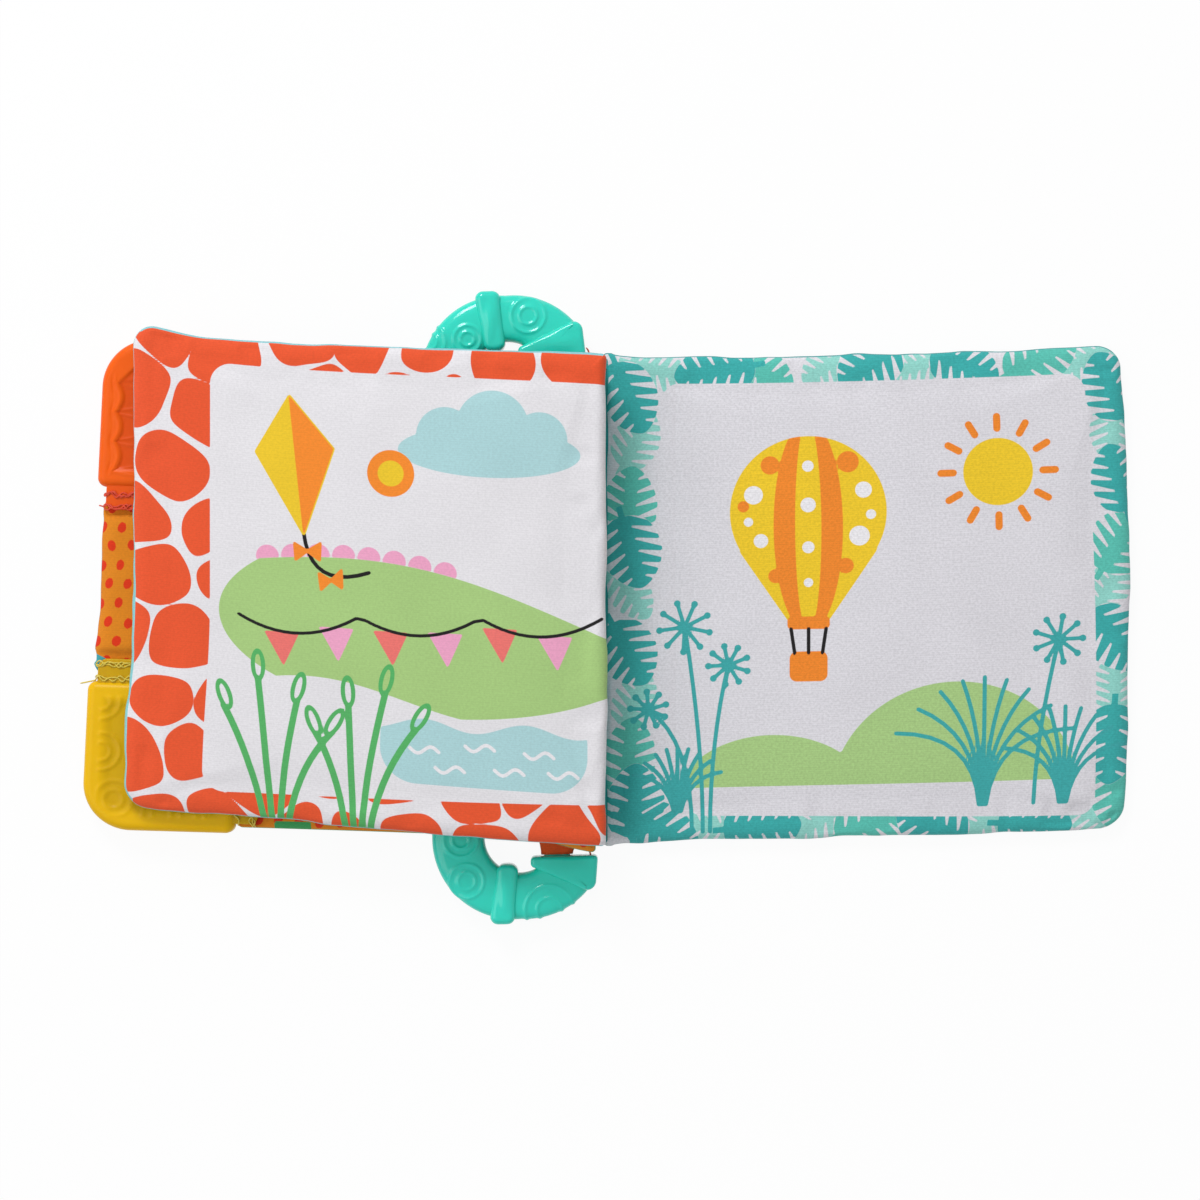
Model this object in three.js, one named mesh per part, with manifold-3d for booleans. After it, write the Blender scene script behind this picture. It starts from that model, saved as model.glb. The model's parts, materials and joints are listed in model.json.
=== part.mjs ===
// Baby's crinkle cloth book with two corner teethers and a loop handle, lying open on a table.
//
// Units are millimetres. +X runs across the open book from the spine to the free edge of the back
// cover, +Y runs up the pages and +Z points away from the table. The origin is on the table, under
// the spine. The front cover and the leaf lie on the left, on the folded-in handle, and the back
// cover lies flat on the right.
//
// Each padded page is two cloth faces, a layer of wadding and a sheet of crinkle film. A page is
// drawn flat, as (out, up, over): out from the spine's seam, up the page and over its mid-plane.
import * as THREE from "three";
import { mergeVertices } from "three/addons/utils/BufferGeometryUtils.js";
import Module from "manifold-3d";

const wasm = await Module();
wasm.setup();

// Padded pages
const padHalf = 3.1; // from a page's seam to the top of its crown
const padCrown = 0.5; // how far the middle of a face swells past its rolled edge
const clothWall = 0.8; // cloth with its quilting
const seamGap = 0.3; // between the two faces along their seam
const edgeRoll = 5; // how far in from the seam a face has rolled up to full height
const pageCorner = 6.5;
const spineCorner = 1.5; // the corners at the spine are sewn nearly square
const pageGap = 0.5; // between pages that lie on each other
const fillInset = 10.5; // from a page's seam to the edge of its filling
const filmThick = 0.4;
const filmOver = -1.5; // place of the film under its face
const waddingThick = 2.3;
const waddingOver = -0.8;
const cornerSteps = 3;
const sideRun = 32; // length of a side that one straight run covers
const sideNear = 4.2; // first point along a side, from the end of its corner
const finestRadius = 0.6; // least radius left where an inset eats a corner
const firstRollShare = 0.08; // places of the rings along the rolled edge
const lastRollShare = 0.3;
const crownShares = [0.66, 0.33];
const weldShare = 0.001; // of the gap in a seam: points nearer than this are one

// Back cover
const backStart = 2;
const backReach = 143.2;
const backBow = 2.3; // free edge swells out by this much in the middle
const backSpineHeight = 136.8;
const backFreeHeight = 134.2;
const backLean = 2.2; // how far the free edge lies up the table from the spine
const backRise = 1.5; // how much further it curves up towards the free edge
const backSlant = 0.4; // how far the free edge leans out at its lower end, and in at its upper
const backDrawIn = 1.2; // how far the long sides pull in between their corners
const backDrawPower = 0.45; // below 1 the long sides pull in most near the spine, above 1 near the free edge

// Front cover
const coverStart = 2.6;
const coverReach = 140.6;
const coverSpineHeight = 135.5;
const coverFreeHeight = 132.6;
const coverLean = 4.5;
const coverSlant = 3.2;
const coverDrawIn = 1.5;
const coverDrawPower = 0.5;

// Leaf between the covers
const leafStart = 1.5;
const leafReach = 129.8;
const leafSpineHeight = 134.4;
const leafFreeHeight = 132.4;
const leafLean = 6.6;
const leafRise = 2.3;
const leafDrawIn = 1.1;
const leafDrawPower = 2;
const leafKick = 2.7; // how far its free edge swings out towards its lower end
const kickShares = [0.12, 0.88]; // of the way down from the page's middle, where the swing starts and ends

// Corner teethers
const teetherSize = 42.3; // length of each side of the moulded corner
const teetherProud = 1.7; // how far it stands out past the cloth's edge
const teetherThick = 6.8;
const teetherCorner = 13.5;
const teetherHeel = 2.6; // radius of the other corners
const teetherRound = 2.3; // radius that runs round its edges
const teetherFit = 0.3; // gap to the cloth
const flangeWide = 6.4; // sewing flange that laps over the cloth's inner face
const flangeThick = 1.2;
const flangeShort = 1.3; // how far the flange's ends stop short of the cloth's edges
const lapHeight = 1; // height that the flange presses the cloth down to
const lapRise = 1.8; // width over which the cloth rises again past the flange
const rimWide = 4.6; // raised rim along the outer edges
const plateDeep = 0.8; // how far the plate inside the rim lies below it
const cornerCut = 8; // how far the plate's outer corner is cut back behind the round one
const petalDeep = 1.5; // how far each petal of the rim swells over the plate
const petals = 3;
const petalSteps = 6;
const ribWide = 1.2;
const ribCorner = 0.4;
const ribLong = 9;
const ribHigh = 0.5;
const swirlPlaces = 3;
const swirlFirst = 5.5; // place of the first swirl, from the rim's corner
const swirlStep = 13.5;
const swirlRings = 2;
const swirlInner = 3.8;
const swirlPitch = 2.4;
const swirlWide = 1;
const swirlHigh = 0.5;

// Spine cloth and seam allowances
const spineCloth = 0.8;
const seamLength = 131; // length of the sewn spine, a little short of the pages
const seamFit = 0.35; // running gap round the spine's seam
const hemThick = 0.9;

// Loop handle
const loopHalf = 86.4; // from its middle to the outside of each end
const loopInner = 9.6; // inside radius of each end
const apexWide = 12.9; // the band is wider along the grip than round the ends
const gripWide = 14.6;
const bandThick = 7.4;
const bandRound = 3;
const loopAcross = -25.3; // place of the ends' middles, from the spine
const pagesUp = 1.4; // the pages' middle, from its middle
const loopTurn = THREE.MathUtils.degToRad(1.4); // it lies a little askew under the cover
const handleThick = 8.4; // over the wraps and the cuffs
const wrapInnerWide = 5.6;
const wrapOuterWide = 6.5;
const wrapInnerAcross = -28.5;
const wrapOuterAcross = -30.7;
const wrapInside = 2.6; // how far a wrap stands into the loop
const wrapOutside = 1.2;
const wrapCorner = 2.4;
const wrapRound = 2;
const cuffBack = 17.4; // from the outside of each end back to the flat end of its cuff
const cuffTipAcross = -22.3;
const cuffHeelAcross = -3.6;
const cuffHeelLean = 1.6;
const cuffTipDeep = 2.7;
const cuffHeelDeep = 9.2;
const cuffTip = 1.25; // corner radii
const cuffHeel = 2.4;
const cuffRound = 1;
const bandIntoCuff = THREE.MathUtils.degToRad(35); // where the band meets the cuff, round the end's middle
const ringInner = 2.4; // embossed double rings
const ringPitch = 2.3;
const ringWide = 0.9;
const ringHigh = 0.35;
const ringSteps = 4;
// Place of each double ring: way round the end from the spine, way across the band, and size
const upperRingShares = [[0.39, 0.6, 1], [0.755, 0.4, 0.8], [0.86, 1, 1]];
const lowerRingShares = [[0.38, 0.88, 1.45], [0.79, 0.64, 1], [1, 0.45, 1]];
const barAcross = -12;
const barWide = 15.2;
const barThick = 3.2;
const barRound = 1.4;
const barSink = 2; // how far the bar runs into each cuff
const loopSteps = 10;
const sectionSteps = 3;
const shapeSteps = 3;
const bevelSteps = 2;

// Cloth sleeve round the handle's bar
const sleeveWall = 0.8;
const sleeveFit = 0.4;
const sleeveEndFit = 0.35;
const sleeveHemUp = 0.9; // underside of its hem, over the table
const sleeveHemWide = 7.5;

// Worked out from the sizes above
const weld = seamGap * weldShare;
const overrun = seamGap;
const backMid = padHalf - padCrown;
const leafLift = 2 * padHalf + pageGap;
const hingeHeight = backMid + 2 * padHalf + pageGap + leafLift;
const notch = teetherSize - teetherProud;
const loopEnd = loopHalf - loopInner - apexWide;
const cuffFace = loopHalf - cuffBack;
const seamEdge = spineCloth / 2 + seamFit;
const lapReach = flangeWide + teetherFit + overrun;
const coverTilt = Math.asin((hingeHeight - teetherThick / 2) / (coverReach + teetherProud + coverSlant));

// Cloth and plastic colours
const finish = (color, roughness) => new THREE.MeshStandardMaterial({ color, roughness, metalness: 0 });
const finishes = {
  patchPrint: () => finish(0xe8663c, 0.85),
  aquaPrint: () => finish(0xa9d8d8, 0.85),
  amberPrint: () => finish(0xd98a1e, 0.85),
  cyanPrint: () => finish(0x45a5ae, 0.85),
  leafPrint: () => finish(0x74c0b8, 0.85),
  tealPrint: () => finish(0x2f9e9c, 0.85),
  orangeCloth: () => finish(0xe35a2c, 0.85),
  wadding: () => finish(0xf2f0ea, 0.95),
  film: () => finish(0xd9dde0, 0.3),
  orangeRubber: () => finish(0xf56a1e, 0.45),
  yellowRubber: () => finish(0xdcb80f, 0.45),
  tealPlastic: () => finish(0x2fccb8, 0.35),
};

// Solids
function toSolid(geometry) {
  const bare = geometry.clone();
  bare.deleteAttribute("normal");
  bare.deleteAttribute("uv");
  const merged = mergeVertices(bare, weld);
  return new wasm.Manifold(new wasm.Mesh({
    numProp: 3,
    vertProperties: new Float32Array(merged.attributes.position.array),
    triVerts: new Uint32Array(merged.index.array),
  }));
}

function toGeometry(solid) {
  const mesh = solid.getMesh();
  const geometry = new THREE.BufferGeometry();
  geometry.setAttribute("position", new THREE.BufferAttribute(mesh.vertProperties, 3));
  geometry.setIndex(new THREE.BufferAttribute(mesh.triVerts, 1));
  const shown = geometry.toNonIndexed();
  shown.computeVertexNormals();
  return shown;
}

function join(first, ...others) {
  return toGeometry(others.reduce((solid, other) => solid.add(toSolid(other)), toSolid(first)));
}

function cut(first, ...others) {
  return toGeometry(others.reduce((solid, other) => solid.subtract(toSolid(other)), toSolid(first)));
}

function common(first, other) {
  return toGeometry(toSolid(first).intersect(toSolid(other)));
}

function piece(name, geometry, material) {
  const mesh = new THREE.Mesh(geometry, material);
  mesh.name = name;
  return mesh;
}

// A closed skin through rings of points that all have one count, with a point at each end
function skin(firstPole, rings, lastPole) {
  const count = rings[0].length;
  const points = [firstPole, ...rings.flat(), lastPole];
  const at = (ring, step) => 1 + ring * count + (step % count);
  const faces = [];
  for (let step = 0; step < count; step += 1) {
    faces.push(0, at(0, step), at(0, step + 1));
    for (let ring = 0; ring + 1 < rings.length; ring += 1) {
      faces.push(at(ring, step), at(ring + 1, step), at(ring + 1, step + 1));
      faces.push(at(ring, step), at(ring + 1, step + 1), at(ring, step + 1));
    }
    faces.push(points.length - 1, at(rings.length - 1, step + 1), at(rings.length - 1, step));
  }
  const geometry = new THREE.BufferGeometry().setFromPoints(points);
  geometry.setIndex(faces);
  return geometry;
}

function turnedOut(geometry) {
  const index = geometry.getIndex();
  for (let face = 0; face < index.count; face += 3) {
    const second = index.getX(face + 1);
    index.setX(face + 1, index.getX(face + 2));
    index.setX(face + 2, second);
  }
  return geometry;
}

// A plate of any outline between two heights, with its edges rounded where a radius is given
function plate(shape, low, high, round = 0, curveSegments = shapeSteps) {
  const depth = high - low - 2 * round;
  const geometry = new THREE.ExtrudeGeometry(shape, {
    depth, curveSegments, bevelEnabled: round > 0,
    bevelThickness: round, bevelSize: round, bevelOffset: -round, bevelSegments: bevelSteps,
  });
  return geometry.translate(0, 0, low + round);
}

// Outline of straight sides with a rounded corner at each place: [x, y, radius]
function roundedShape(places) {
  const shape = new THREE.Shape();
  places.forEach(([x, y, radius], index) => {
    const [fromX, fromY] = places[(index + places.length - 1) % places.length];
    const [toX, toY] = places[(index + 1) % places.length];
    const back = new THREE.Vector2(fromX - x, fromY - y).normalize();
    const ahead = new THREE.Vector2(toX - x, toY - y).normalize();
    const half = Math.acos(back.dot(ahead)) / 2;
    const run = radius / Math.tan(half);
    const enter = new THREE.Vector2(x, y).addScaledVector(back, run);
    const leave = new THREE.Vector2(x, y).addScaledVector(ahead, run);
    const middle = new THREE.Vector2(x, y)
      .addScaledVector(back.clone().add(ahead).normalize(), radius / Math.sin(half));
    const start = Math.atan2(enter.y - middle.y, enter.x - middle.x);
    const end = Math.atan2(leave.y - middle.y, leave.x - middle.x);
    if (index === 0) shape.moveTo(enter.x, enter.y);
    else shape.lineTo(enter.x, enter.y);
    shape.absarc(middle.x, middle.y, radius, start, end, back.cross(ahead) > 0);
  });
  shape.closePath();
  return shape;
}

function boxShape(x0, x1, y0, y1, radius) {
  return roundedShape([[x0, y0, radius], [x1, y0, radius], [x1, y1, radius], [x0, y1, radius]]);
}

function block(x0, x1, y0, y1, z0, z1) {
  return new THREE.BoxGeometry(x1 - x0, y1 - y0, z1 - z0)
    .translate((x0 + x1) / 2, (y0 + y1) / 2, (z0 + z1) / 2);
}

// A padded page drawn flat, with its two faces and its filling
class Page {
  constructor(sizes) {
    Object.assign(this, { slant: 0, bow: 0, rise: 0, kick: 0, notched: false }, sizes);
    this.half = this.spineHeight / 2;
    this.corners = this.notched ? this.notchedCorners() : this.plainCorners();
    this.sides = this.corners.map((corner, index) => this.sideShares(corner, index));
    this.middle = (this.start + this.reach) / 2;
  }

  // Corners run anticlockwise: place, heading on the way in, in quarter turns, turn, 1 left or -1 right,
  // and radius
  plainCorners() {
    const { start, reach, half } = this;
    return [
      [reach, -half, 0, 1, pageCorner], [reach, half, 1, 1, pageCorner],
      [start, half, 2, 1, spineCorner], [start, -half, 3, 1, spineCorner],
    ];
  }

  notchedCorners() {
    const { start, reach, half } = this;
    const inside = reach - notch;
    const inner = half - notch;
    return [
      [inside, -half, 0, 1, pageCorner], [inside, -inner, 1, -1, pageCorner],
      [reach, -inner, 0, 1, pageCorner], [reach, inner, 1, 1, pageCorner],
      [inside, inner, 2, -1, pageCorner], [inside, half, 1, 1, pageCorner],
      [start, half, 2, 1, spineCorner], [start, -half, 3, 1, spineCorner],
    ];
  }

  arc([x, y, heading, turn, own], inset) {
    const radius = turn > 0 ? Math.max(own, inset + finestRadius) : own;
    const angle = heading * Math.PI / 2;
    const ahead = new THREE.Vector2(Math.cos(angle), Math.sin(angle));
    const aside = new THREE.Vector2(-ahead.y, ahead.x);
    const middle = new THREE.Vector2(x, y).addScaledVector(ahead, -radius).addScaledVector(aside, turn * radius);
    const points = [];
    for (let step = 0; step <= cornerSteps; step += 1) {
      const at = angle - turn * (Math.PI / 2) * (1 - step / cornerSteps);
      const reach = radius - turn * inset;
      points.push(new THREE.Vector2(middle.x + reach * Math.cos(at), middle.y + reach * Math.sin(at)));
    }
    return points;
  }

  sideShares(corner, index) {
    const next = this.corners[(index + 1) % this.corners.length];
    const length = Math.hypot(next[0] - corner[0], next[1] - corner[1]) - 2 * pageCorner;
    const near = sideNear / length;
    const steps = Math.round(length / sideRun);
    const evenly = Array.from({ length: Math.max(steps - 1, 0) }, (_, step) => (step + 1) / steps);
    return steps > 0 ? [near, ...evenly, 1 - near] : [];
  }

  // The page's outline, moved in by an inset and drawn towards the middle by a share
  ring(inset, share = 1) {
    const arcs = this.corners.map((corner) => this.arc(corner, inset));
    const flat = arcs.flatMap((points, index) => {
      const from = points[cornerSteps];
      const to = arcs[(index + 1) % arcs.length][0];
      return [...points, ...this.sides[index].map((along) => from.clone().lerp(to, along))];
    });
    return flat.map((point) => new THREE.Vector2(
      this.middle + share * (point.x - this.middle), share * point.y));
  }

  // How far a point of the flat page lies from the nearer notch, or none where the page has no notch
  fromNotch(point) {
    if (!this.notched) return Infinity;
    const out = Math.max(this.reach - notch - point.x, 0);
    const down = Math.max(this.half - notch - Math.abs(point.y), 0);
    return Math.hypot(out, down);
  }

  // From the flat drawing to the page as it lies: leaned, slanted, bowed, and drawn in along its long sides
  lie(x, y, z) {
    const out = (x - this.start) / (this.reach - this.start);
    const up = y / this.half;
    const height = THREE.MathUtils.lerp(this.half, this.freeHeight / 2, out);
    const drawn = this.draw * Math.sin(Math.PI * THREE.MathUtils.clamp(out, 0, 1) ** this.drawPower);
    const bow = this.bow * out * out * (1 - up * up) - this.slant * up * out;
    const kick = this.kick * out * THREE.MathUtils.smoothstep(-up, ...kickShares);
    return new THREE.Vector3(
      x + bow + kick, up * (height - drawn) + this.lean * out + this.rise * out ** 3, z);
  }

  lay(geometry) {
    const places = geometry.getAttribute("position");
    for (let index = 0; index < places.count; index += 1) {
      const laid = this.lie(places.getX(index), places.getY(index), places.getZ(index));
      places.setXYZ(index, laid.x, laid.y, laid.z);
    }
    return geometry;
  }

  // Height of a face over the mid-plane: a quarter round at the edge, then a low crown to the middle
  faceHeight(inset, share, crown) {
    const rolled = Math.min(inset / edgeRoll, 1);
    const round = Math.sqrt(1 - (1 - rolled) ** 2);
    const low = seamGap / 2;
    return low + (padHalf - padCrown - low) * round + crown * (1 - share * share);
  }

  // One cloth face as a shell. side is 1 over the mid-plane and -1 under it
  face(side, { crown = padCrown, lapped = false } = {}) {
    const offsets = [0, edgeRoll * firstRollShare, edgeRoll * lastRollShare, edgeRoll];
    if (lapped) offsets.push(lapReach, lapReach + lapRise);
    const level = (point, inset, share, wall) => {
      const full = this.faceHeight(inset, share, crown);
      const near = inset < lapReach + weld && this.fromNotch(point) - wall < lapReach + lapRise / 2;
      return Math.max((lapped && near ? Math.min(full, lapHeight) : full) - wall, seamGap / 2);
    };
    const wallRings = (wall) => [
      ...offsets.map((inset) => this.ring(inset + wall)
        .map((point) => [point, level(point, inset, 1, wall)])),
      ...crownShares.map((share) => this.ring(offsets.at(-1) + wall, share)
        .map((point) => [point, level(point, edgeRoll + lapReach, share, wall)])),
    ];
    const placed = (ring) => ring.map(([point, height]) => this.lie(point.x, point.y, side * height));
    const pole = (wall) => this.lie(this.middle, 0, side * (padHalf - padCrown + crown - wall));
    const rings = [...wallRings(0).reverse(), ...wallRings(clothWall)].map(placed);
    const shell = skin(pole(0), rings, pole(clothWall));
    return side > 0 ? shell : turnedOut(shell);
  }

  // A flat layer of filling, set in from the seam
  layer(over, thick) {
    const shape = new THREE.Shape(this.ring(fillInset));
    return this.lay(plate(shape, over, over + thick));
  }
}

// Moulded corners of the front cover
function mirrored(places, end) {
  return end > 0 ? places : places.map(([x, y, radius]) => [x, -y, radius]).reverse();
}

// The body's outline, or the flange's, which laps over the cloth and stops short of the cloth's edges
function cornerPlaces(page, lap, short) {
  const inside = page.reach - notch + teetherFit - lap;
  const outside = page.reach + teetherProud - short;
  const low = page.half - notch + teetherFit - lap;
  const high = page.half + teetherProud - short;
  return [
    [inside, low, pageCorner - teetherFit + lap], [outside, low, teetherHeel],
    [outside, high, teetherCorner - short], [inside, high, teetherHeel],
  ];
}

function teetherBody(page, end) {
  const outline = roundedShape(mirrored(cornerPlaces(page, 0, 0), end));
  const body = plate(outline, -teetherThick / 2, teetherThick / 2, teetherRound);
  const lap = roundedShape(mirrored(cornerPlaces(page, flangeWide, teetherProud + flangeShort), end));
  const under = lapHeight + teetherFit;
  return join(body, plate(lap, -under - flangeThick, -under));
}

// The plate inside the rim: its outer sides run in and out round the rim's petals, if it has any
function sunkShape(page, end, swelling) {
  const inside = page.reach - notch + teetherFit + rimWide;
  const outside = page.reach + teetherProud - rimWide;
  const low = page.half - notch + teetherFit + rimWide;
  const high = page.half + teetherProud - rimWide;
  const swell = (share) => swelling * Math.abs(Math.sin(Math.PI * petals * share));
  const steps = petals * petalSteps;
  const points = [new THREE.Vector2(inside, low)];
  for (let step = 0; step <= steps; step += 1) {
    const share = step / steps;
    points.push(new THREE.Vector2(outside - swell(share), THREE.MathUtils.lerp(low, high - cornerCut, share)));
  }
  for (let step = steps; step >= 0; step -= 1) {
    const share = step / steps;
    points.push(new THREE.Vector2(THREE.MathUtils.lerp(inside, outside - cornerCut, share), high - swell(share)));
  }
  return new THREE.Shape(end > 0 ? points : points.map(({ x, y }) => new THREE.Vector2(x, -y)).reverse());
}

// Both sunk faces of a teether, as the solids that are cut away
function sunkFaces(page, end, swelling) {
  const sunk = sunkShape(page, end, swelling);
  const top = teetherThick / 2;
  return [plate(sunk, top - plateDeep, top + overrun), plate(sunk, -top - overrun, plateDeep - top)];
}

// What stands on both sunk faces, from just inside the plate
function onFaces(shape, high) {
  const floor = teetherThick / 2 - plateDeep;
  return [plate(shape, floor - overrun, floor + high), plate(shape, -floor - high, overrun - floor)];
}

// Ribs run in from between the petals, like the veins of a leaf
function petalTeether(page, end) {
  const outside = page.reach + teetherProud - rimWide;
  const high = page.half + teetherProud - rimWide;
  const low = page.half - notch + teetherFit + rimWide;
  const inside = page.reach - notch + teetherFit + rimWide;
  const ribs = [];
  for (let petal = 1; petal < petals; petal += 1) {
    const share = petal / petals;
    const along = end * THREE.MathUtils.lerp(low, high - cornerCut, share);
    const across = THREE.MathUtils.lerp(inside, outside - cornerCut, share);
    const [root, tip] = end > 0 ? [high - ribLong, high + overrun] : [-high - overrun, ribLong - high];
    ribs.push(
      boxShape(outside - ribLong, outside + overrun, along - ribWide / 2, along + ribWide / 2, ribCorner),
      boxShape(across - ribWide / 2, across + ribWide / 2, root, tip, ribCorner),
    );
  }
  const sunk = cut(teetherBody(page, end), ...sunkFaces(page, end, petalDeep));
  return page.lay(join(sunk, ...ribs.flatMap((rib) => onFaces(rib, ribHigh))));
}

// Nested arcs stand on the plate, open towards the rim, along both outer sides
function swirlTeether(page, end) {
  const outside = page.reach + teetherProud - rimWide;
  const high = page.half + teetherProud - rimWide;
  const swirls = [];
  for (let place = 0; place < swirlPlaces; place += 1) {
    const back = swirlFirst + place * swirlStep;
    for (let ring = 0; ring < swirlRings; ring += 1) {
      const radius = swirlInner + ring * swirlPitch;
      swirls.push(arch(outside, end * (high - back), radius, Math.PI / 2));
      if (place > 0) swirls.push(arch(outside - back, end * high, radius, end > 0 ? Math.PI : 0));
    }
  }
  const sunk = cut(teetherBody(page, end), ...sunkFaces(page, end, 0));
  return page.lay(join(sunk, ...swirls.flatMap((swirl) => onFaces(swirl, swirlHigh))));
}

// Half a flat ring about a place, swept anticlockwise from an angle
function arch(x, y, radius, from) {
  const shape = new THREE.Shape();
  shape.absarc(x, y, radius + swirlWide / 2, from, from + Math.PI, false);
  shape.absarc(x, y, radius - swirlWide / 2, from + Math.PI, from, true);
  shape.closePath();
  return shape;
}

// Section of a rounded bar, anticlockwise, as (aside, over)
function barSection(wide, thick, round) {
  const points = [];
  for (let corner = 0; corner < 4; corner += 1) {
    const right = corner === 0 || corner === 3 ? 1 : -1;
    const top = corner < 2 ? 1 : -1;
    for (let step = 0; step <= sectionSteps; step += 1) {
      const at = (corner + step / sectionSteps) * Math.PI / 2;
      points.push([
        right * (wide / 2 - round) + round * Math.cos(at), top * (thick / 2 - round) + round * Math.sin(at),
      ]);
    }
  }
  return points;
}

// The handle is drawn about its own middle, as (across, along, over)
function bandWide(at) {
  return THREE.MathUtils.lerp(apexWide, gripWide, Math.abs(Math.cos(at)));
}

// A place on the band at an angle round one end, by its distance from the inside of the loop
function onBand(end, at, reach, over) {
  return new THREE.Vector3(
    loopAcross + (loopInner + reach) * Math.cos(at), end * loopEnd + (loopInner + reach) * Math.sin(at), over);
}

// The band runs from one cuff round the upper end, down the grip and round the lower end
function band(grow = 0) {
  const sections = [];
  const middles = [];
  for (const end of [1, -1]) {
    for (let step = 0; step <= loopSteps; step += 1) {
      const share = end > 0 ? step / loopSteps : 1 - step / loopSteps;
      const at = end * THREE.MathUtils.lerp(bandIntoCuff, Math.PI, share);
      const wide = bandWide(at);
      sections.push(barSection(wide + 2 * grow, bandThick + 2 * grow, bandRound + grow)
        .map(([aside, over]) => onBand(end, at, wide / 2 + aside, over)));
      middles.push(onBand(end, at, wide / 2, 0));
    }
  }
  return skin(middles[0], sections, middles.at(-1));
}

// Double rings stand a little out of the band, also where they run over its edges
function bandRings(end, places) {
  const grown = band(ringHigh);
  return places.flatMap(([round, across, size]) => {
    const at = end * Math.PI * round;
    const { x, y } = onBand(end, at, across * bandWide(at), 0);
    return [ringInner, ringInner + ringPitch].map((radius) => {
      const shape = new THREE.Shape();
      shape.absarc(x, y, size * radius + ringWide / 2, 0, 2 * Math.PI, false);
      shape.holes.push(new THREE.Path().absarc(x, y, size * radius - ringWide / 2, 0, 2 * Math.PI, true));
      return common(grown, plate(shape, -bandThick, bandThick, 0, ringSteps));
    });
  });
}

function wrap(end) {
  const inner = loopEnd + loopInner - wrapInside;
  const outer = loopHalf + wrapOutside;
  return plate(roundedShape(mirrored([
    [wrapInnerAcross - wrapInnerWide / 2, inner, wrapCorner],
    [wrapInnerAcross + wrapInnerWide / 2, inner, wrapCorner],
    [wrapOuterAcross + wrapOuterWide / 2, outer, wrapCorner],
    [wrapOuterAcross - wrapOuterWide / 2, outer, wrapCorner],
  ], end)), -handleThick / 2, handleThick / 2, wrapRound);
}

function cuff(end) {
  return plate(roundedShape(mirrored([
    [cuffTipAcross, cuffFace, cuffTip], [cuffHeelAcross, cuffFace, cuffTip],
    [cuffHeelAcross - cuffHeelLean, cuffFace + cuffHeelDeep, cuffHeel],
    [cuffTipAcross, cuffFace + cuffTipDeep, cuffTip],
  ], end)), -handleThick / 2, handleThick / 2, cuffRound);
}

// A bar along the pages with a section drawn as (across, over)
function beam(shape, half) {
  return new THREE.ExtrudeGeometry(shape, { depth: 2 * half, bevelEnabled: false, curveSegments: sectionSteps })
    .translate(0, 0, -half).rotateX(Math.PI / 2);
}

function barShape(grow) {
  return boxShape(
    barAcross - barWide / 2 - grow, barAcross + barWide / 2 + grow,
    -barThick / 2 - grow, barThick / 2 + grow, barRound + grow);
}

function handle() {
  const rings = [...bandRings(1, upperRingShares), ...bandRings(-1, lowerRingShares)];
  return join(
    band(), wrap(1), wrap(-1), cuff(1), cuff(-1), beam(barShape(0), cuffFace + barSink), ...rings,
  ).rotateZ(loopTurn);
}

// The sleeve wraps the bar between the cuffs, and its hem runs into the spine's lower seam
function sleeve() {
  const around = barShape(sleeveFit + sleeveWall);
  around.holes.push(barShape(sleeveFit));
  const low = sleeveHemUp - handleThick / 2;
  return join(
    beam(around, cuffFace - sleeveEndFit).rotateZ(loopTurn),
    block(-seamEdge - sleeveHemWide, -seamEdge, -seamLength / 2, seamLength / 2, low, low + hemThick),
  );
}

// Cloth that runs from the pages into the spine's seam
function spineStrip() {
  const low = backMid - spineCloth / 2;
  const shape = new THREE.Shape([
    new THREE.Vector2(-spineCloth / 2, low),
    new THREE.Vector2(backStart - seamFit, low),
    new THREE.Vector2(backStart - seamFit, low + spineCloth),
    new THREE.Vector2(spineCloth / 2, low + spineCloth),
    new THREE.Vector2(spineCloth / 2, hingeHeight - seamFit),
    new THREE.Vector2(-spineCloth / 2, hingeHeight - seamFit),
  ]);
  return beam(shape, seamLength / 2);
}

function coverHem() {
  const low = seamGap / 2;
  return block(seamEdge, coverStart + clothWall, -seamLength / 2, seamLength / 2, low, low + hemThick);
}

function leafHem() {
  const low = seamGap;
  return block(
    seamEdge + seamGap / 2, seamEdge + seamGap / 2 + hemThick, -seamLength / 2, seamLength / 2,
    low, leafLift + seamGap / 2 - seamFit);
}

// Model
const backCover = new Page({
  start: backStart, reach: backReach, spineHeight: backSpineHeight, freeHeight: backFreeHeight,
  lean: backLean, rise: backRise, slant: backSlant, bow: backBow,
  draw: backDrawIn, drawPower: backDrawPower,
});
const frontCover = new Page({
  start: coverStart, reach: coverReach, spineHeight: coverSpineHeight, freeHeight: coverFreeHeight,
  lean: coverLean, slant: coverSlant, draw: coverDrawIn, drawPower: coverDrawPower, notched: true,
});
const leaf = new Page({
  start: leafStart, reach: leafReach, spineHeight: leafSpineHeight, freeHeight: leafFreeHeight,
  lean: leafLean, rise: leafRise, kick: leafKick, draw: leafDrawIn, drawPower: leafDrawPower,
});

const book = new THREE.Group();
book.name = "crinkle_cloth_book";

const back = new THREE.Group();
back.position.set(0, pagesUp, backMid);
back.add(
  piece("back_cover_inner_cloth", backCover.face(1), finishes.leafPrint()),
  piece("back_cover_outer_cloth", backCover.face(-1, { crown: 0 }), finishes.tealPrint()),
  piece("back_cover_crinkle_film", backCover.layer(-filmOver - filmThick, filmThick), finishes.film()),
  piece("back_cover_wadding", backCover.layer(-waddingOver - waddingThick, waddingThick), finishes.wadding()),
);

const spine = piece("spine_cloth", spineStrip(), finishes.tealPrint());

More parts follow.
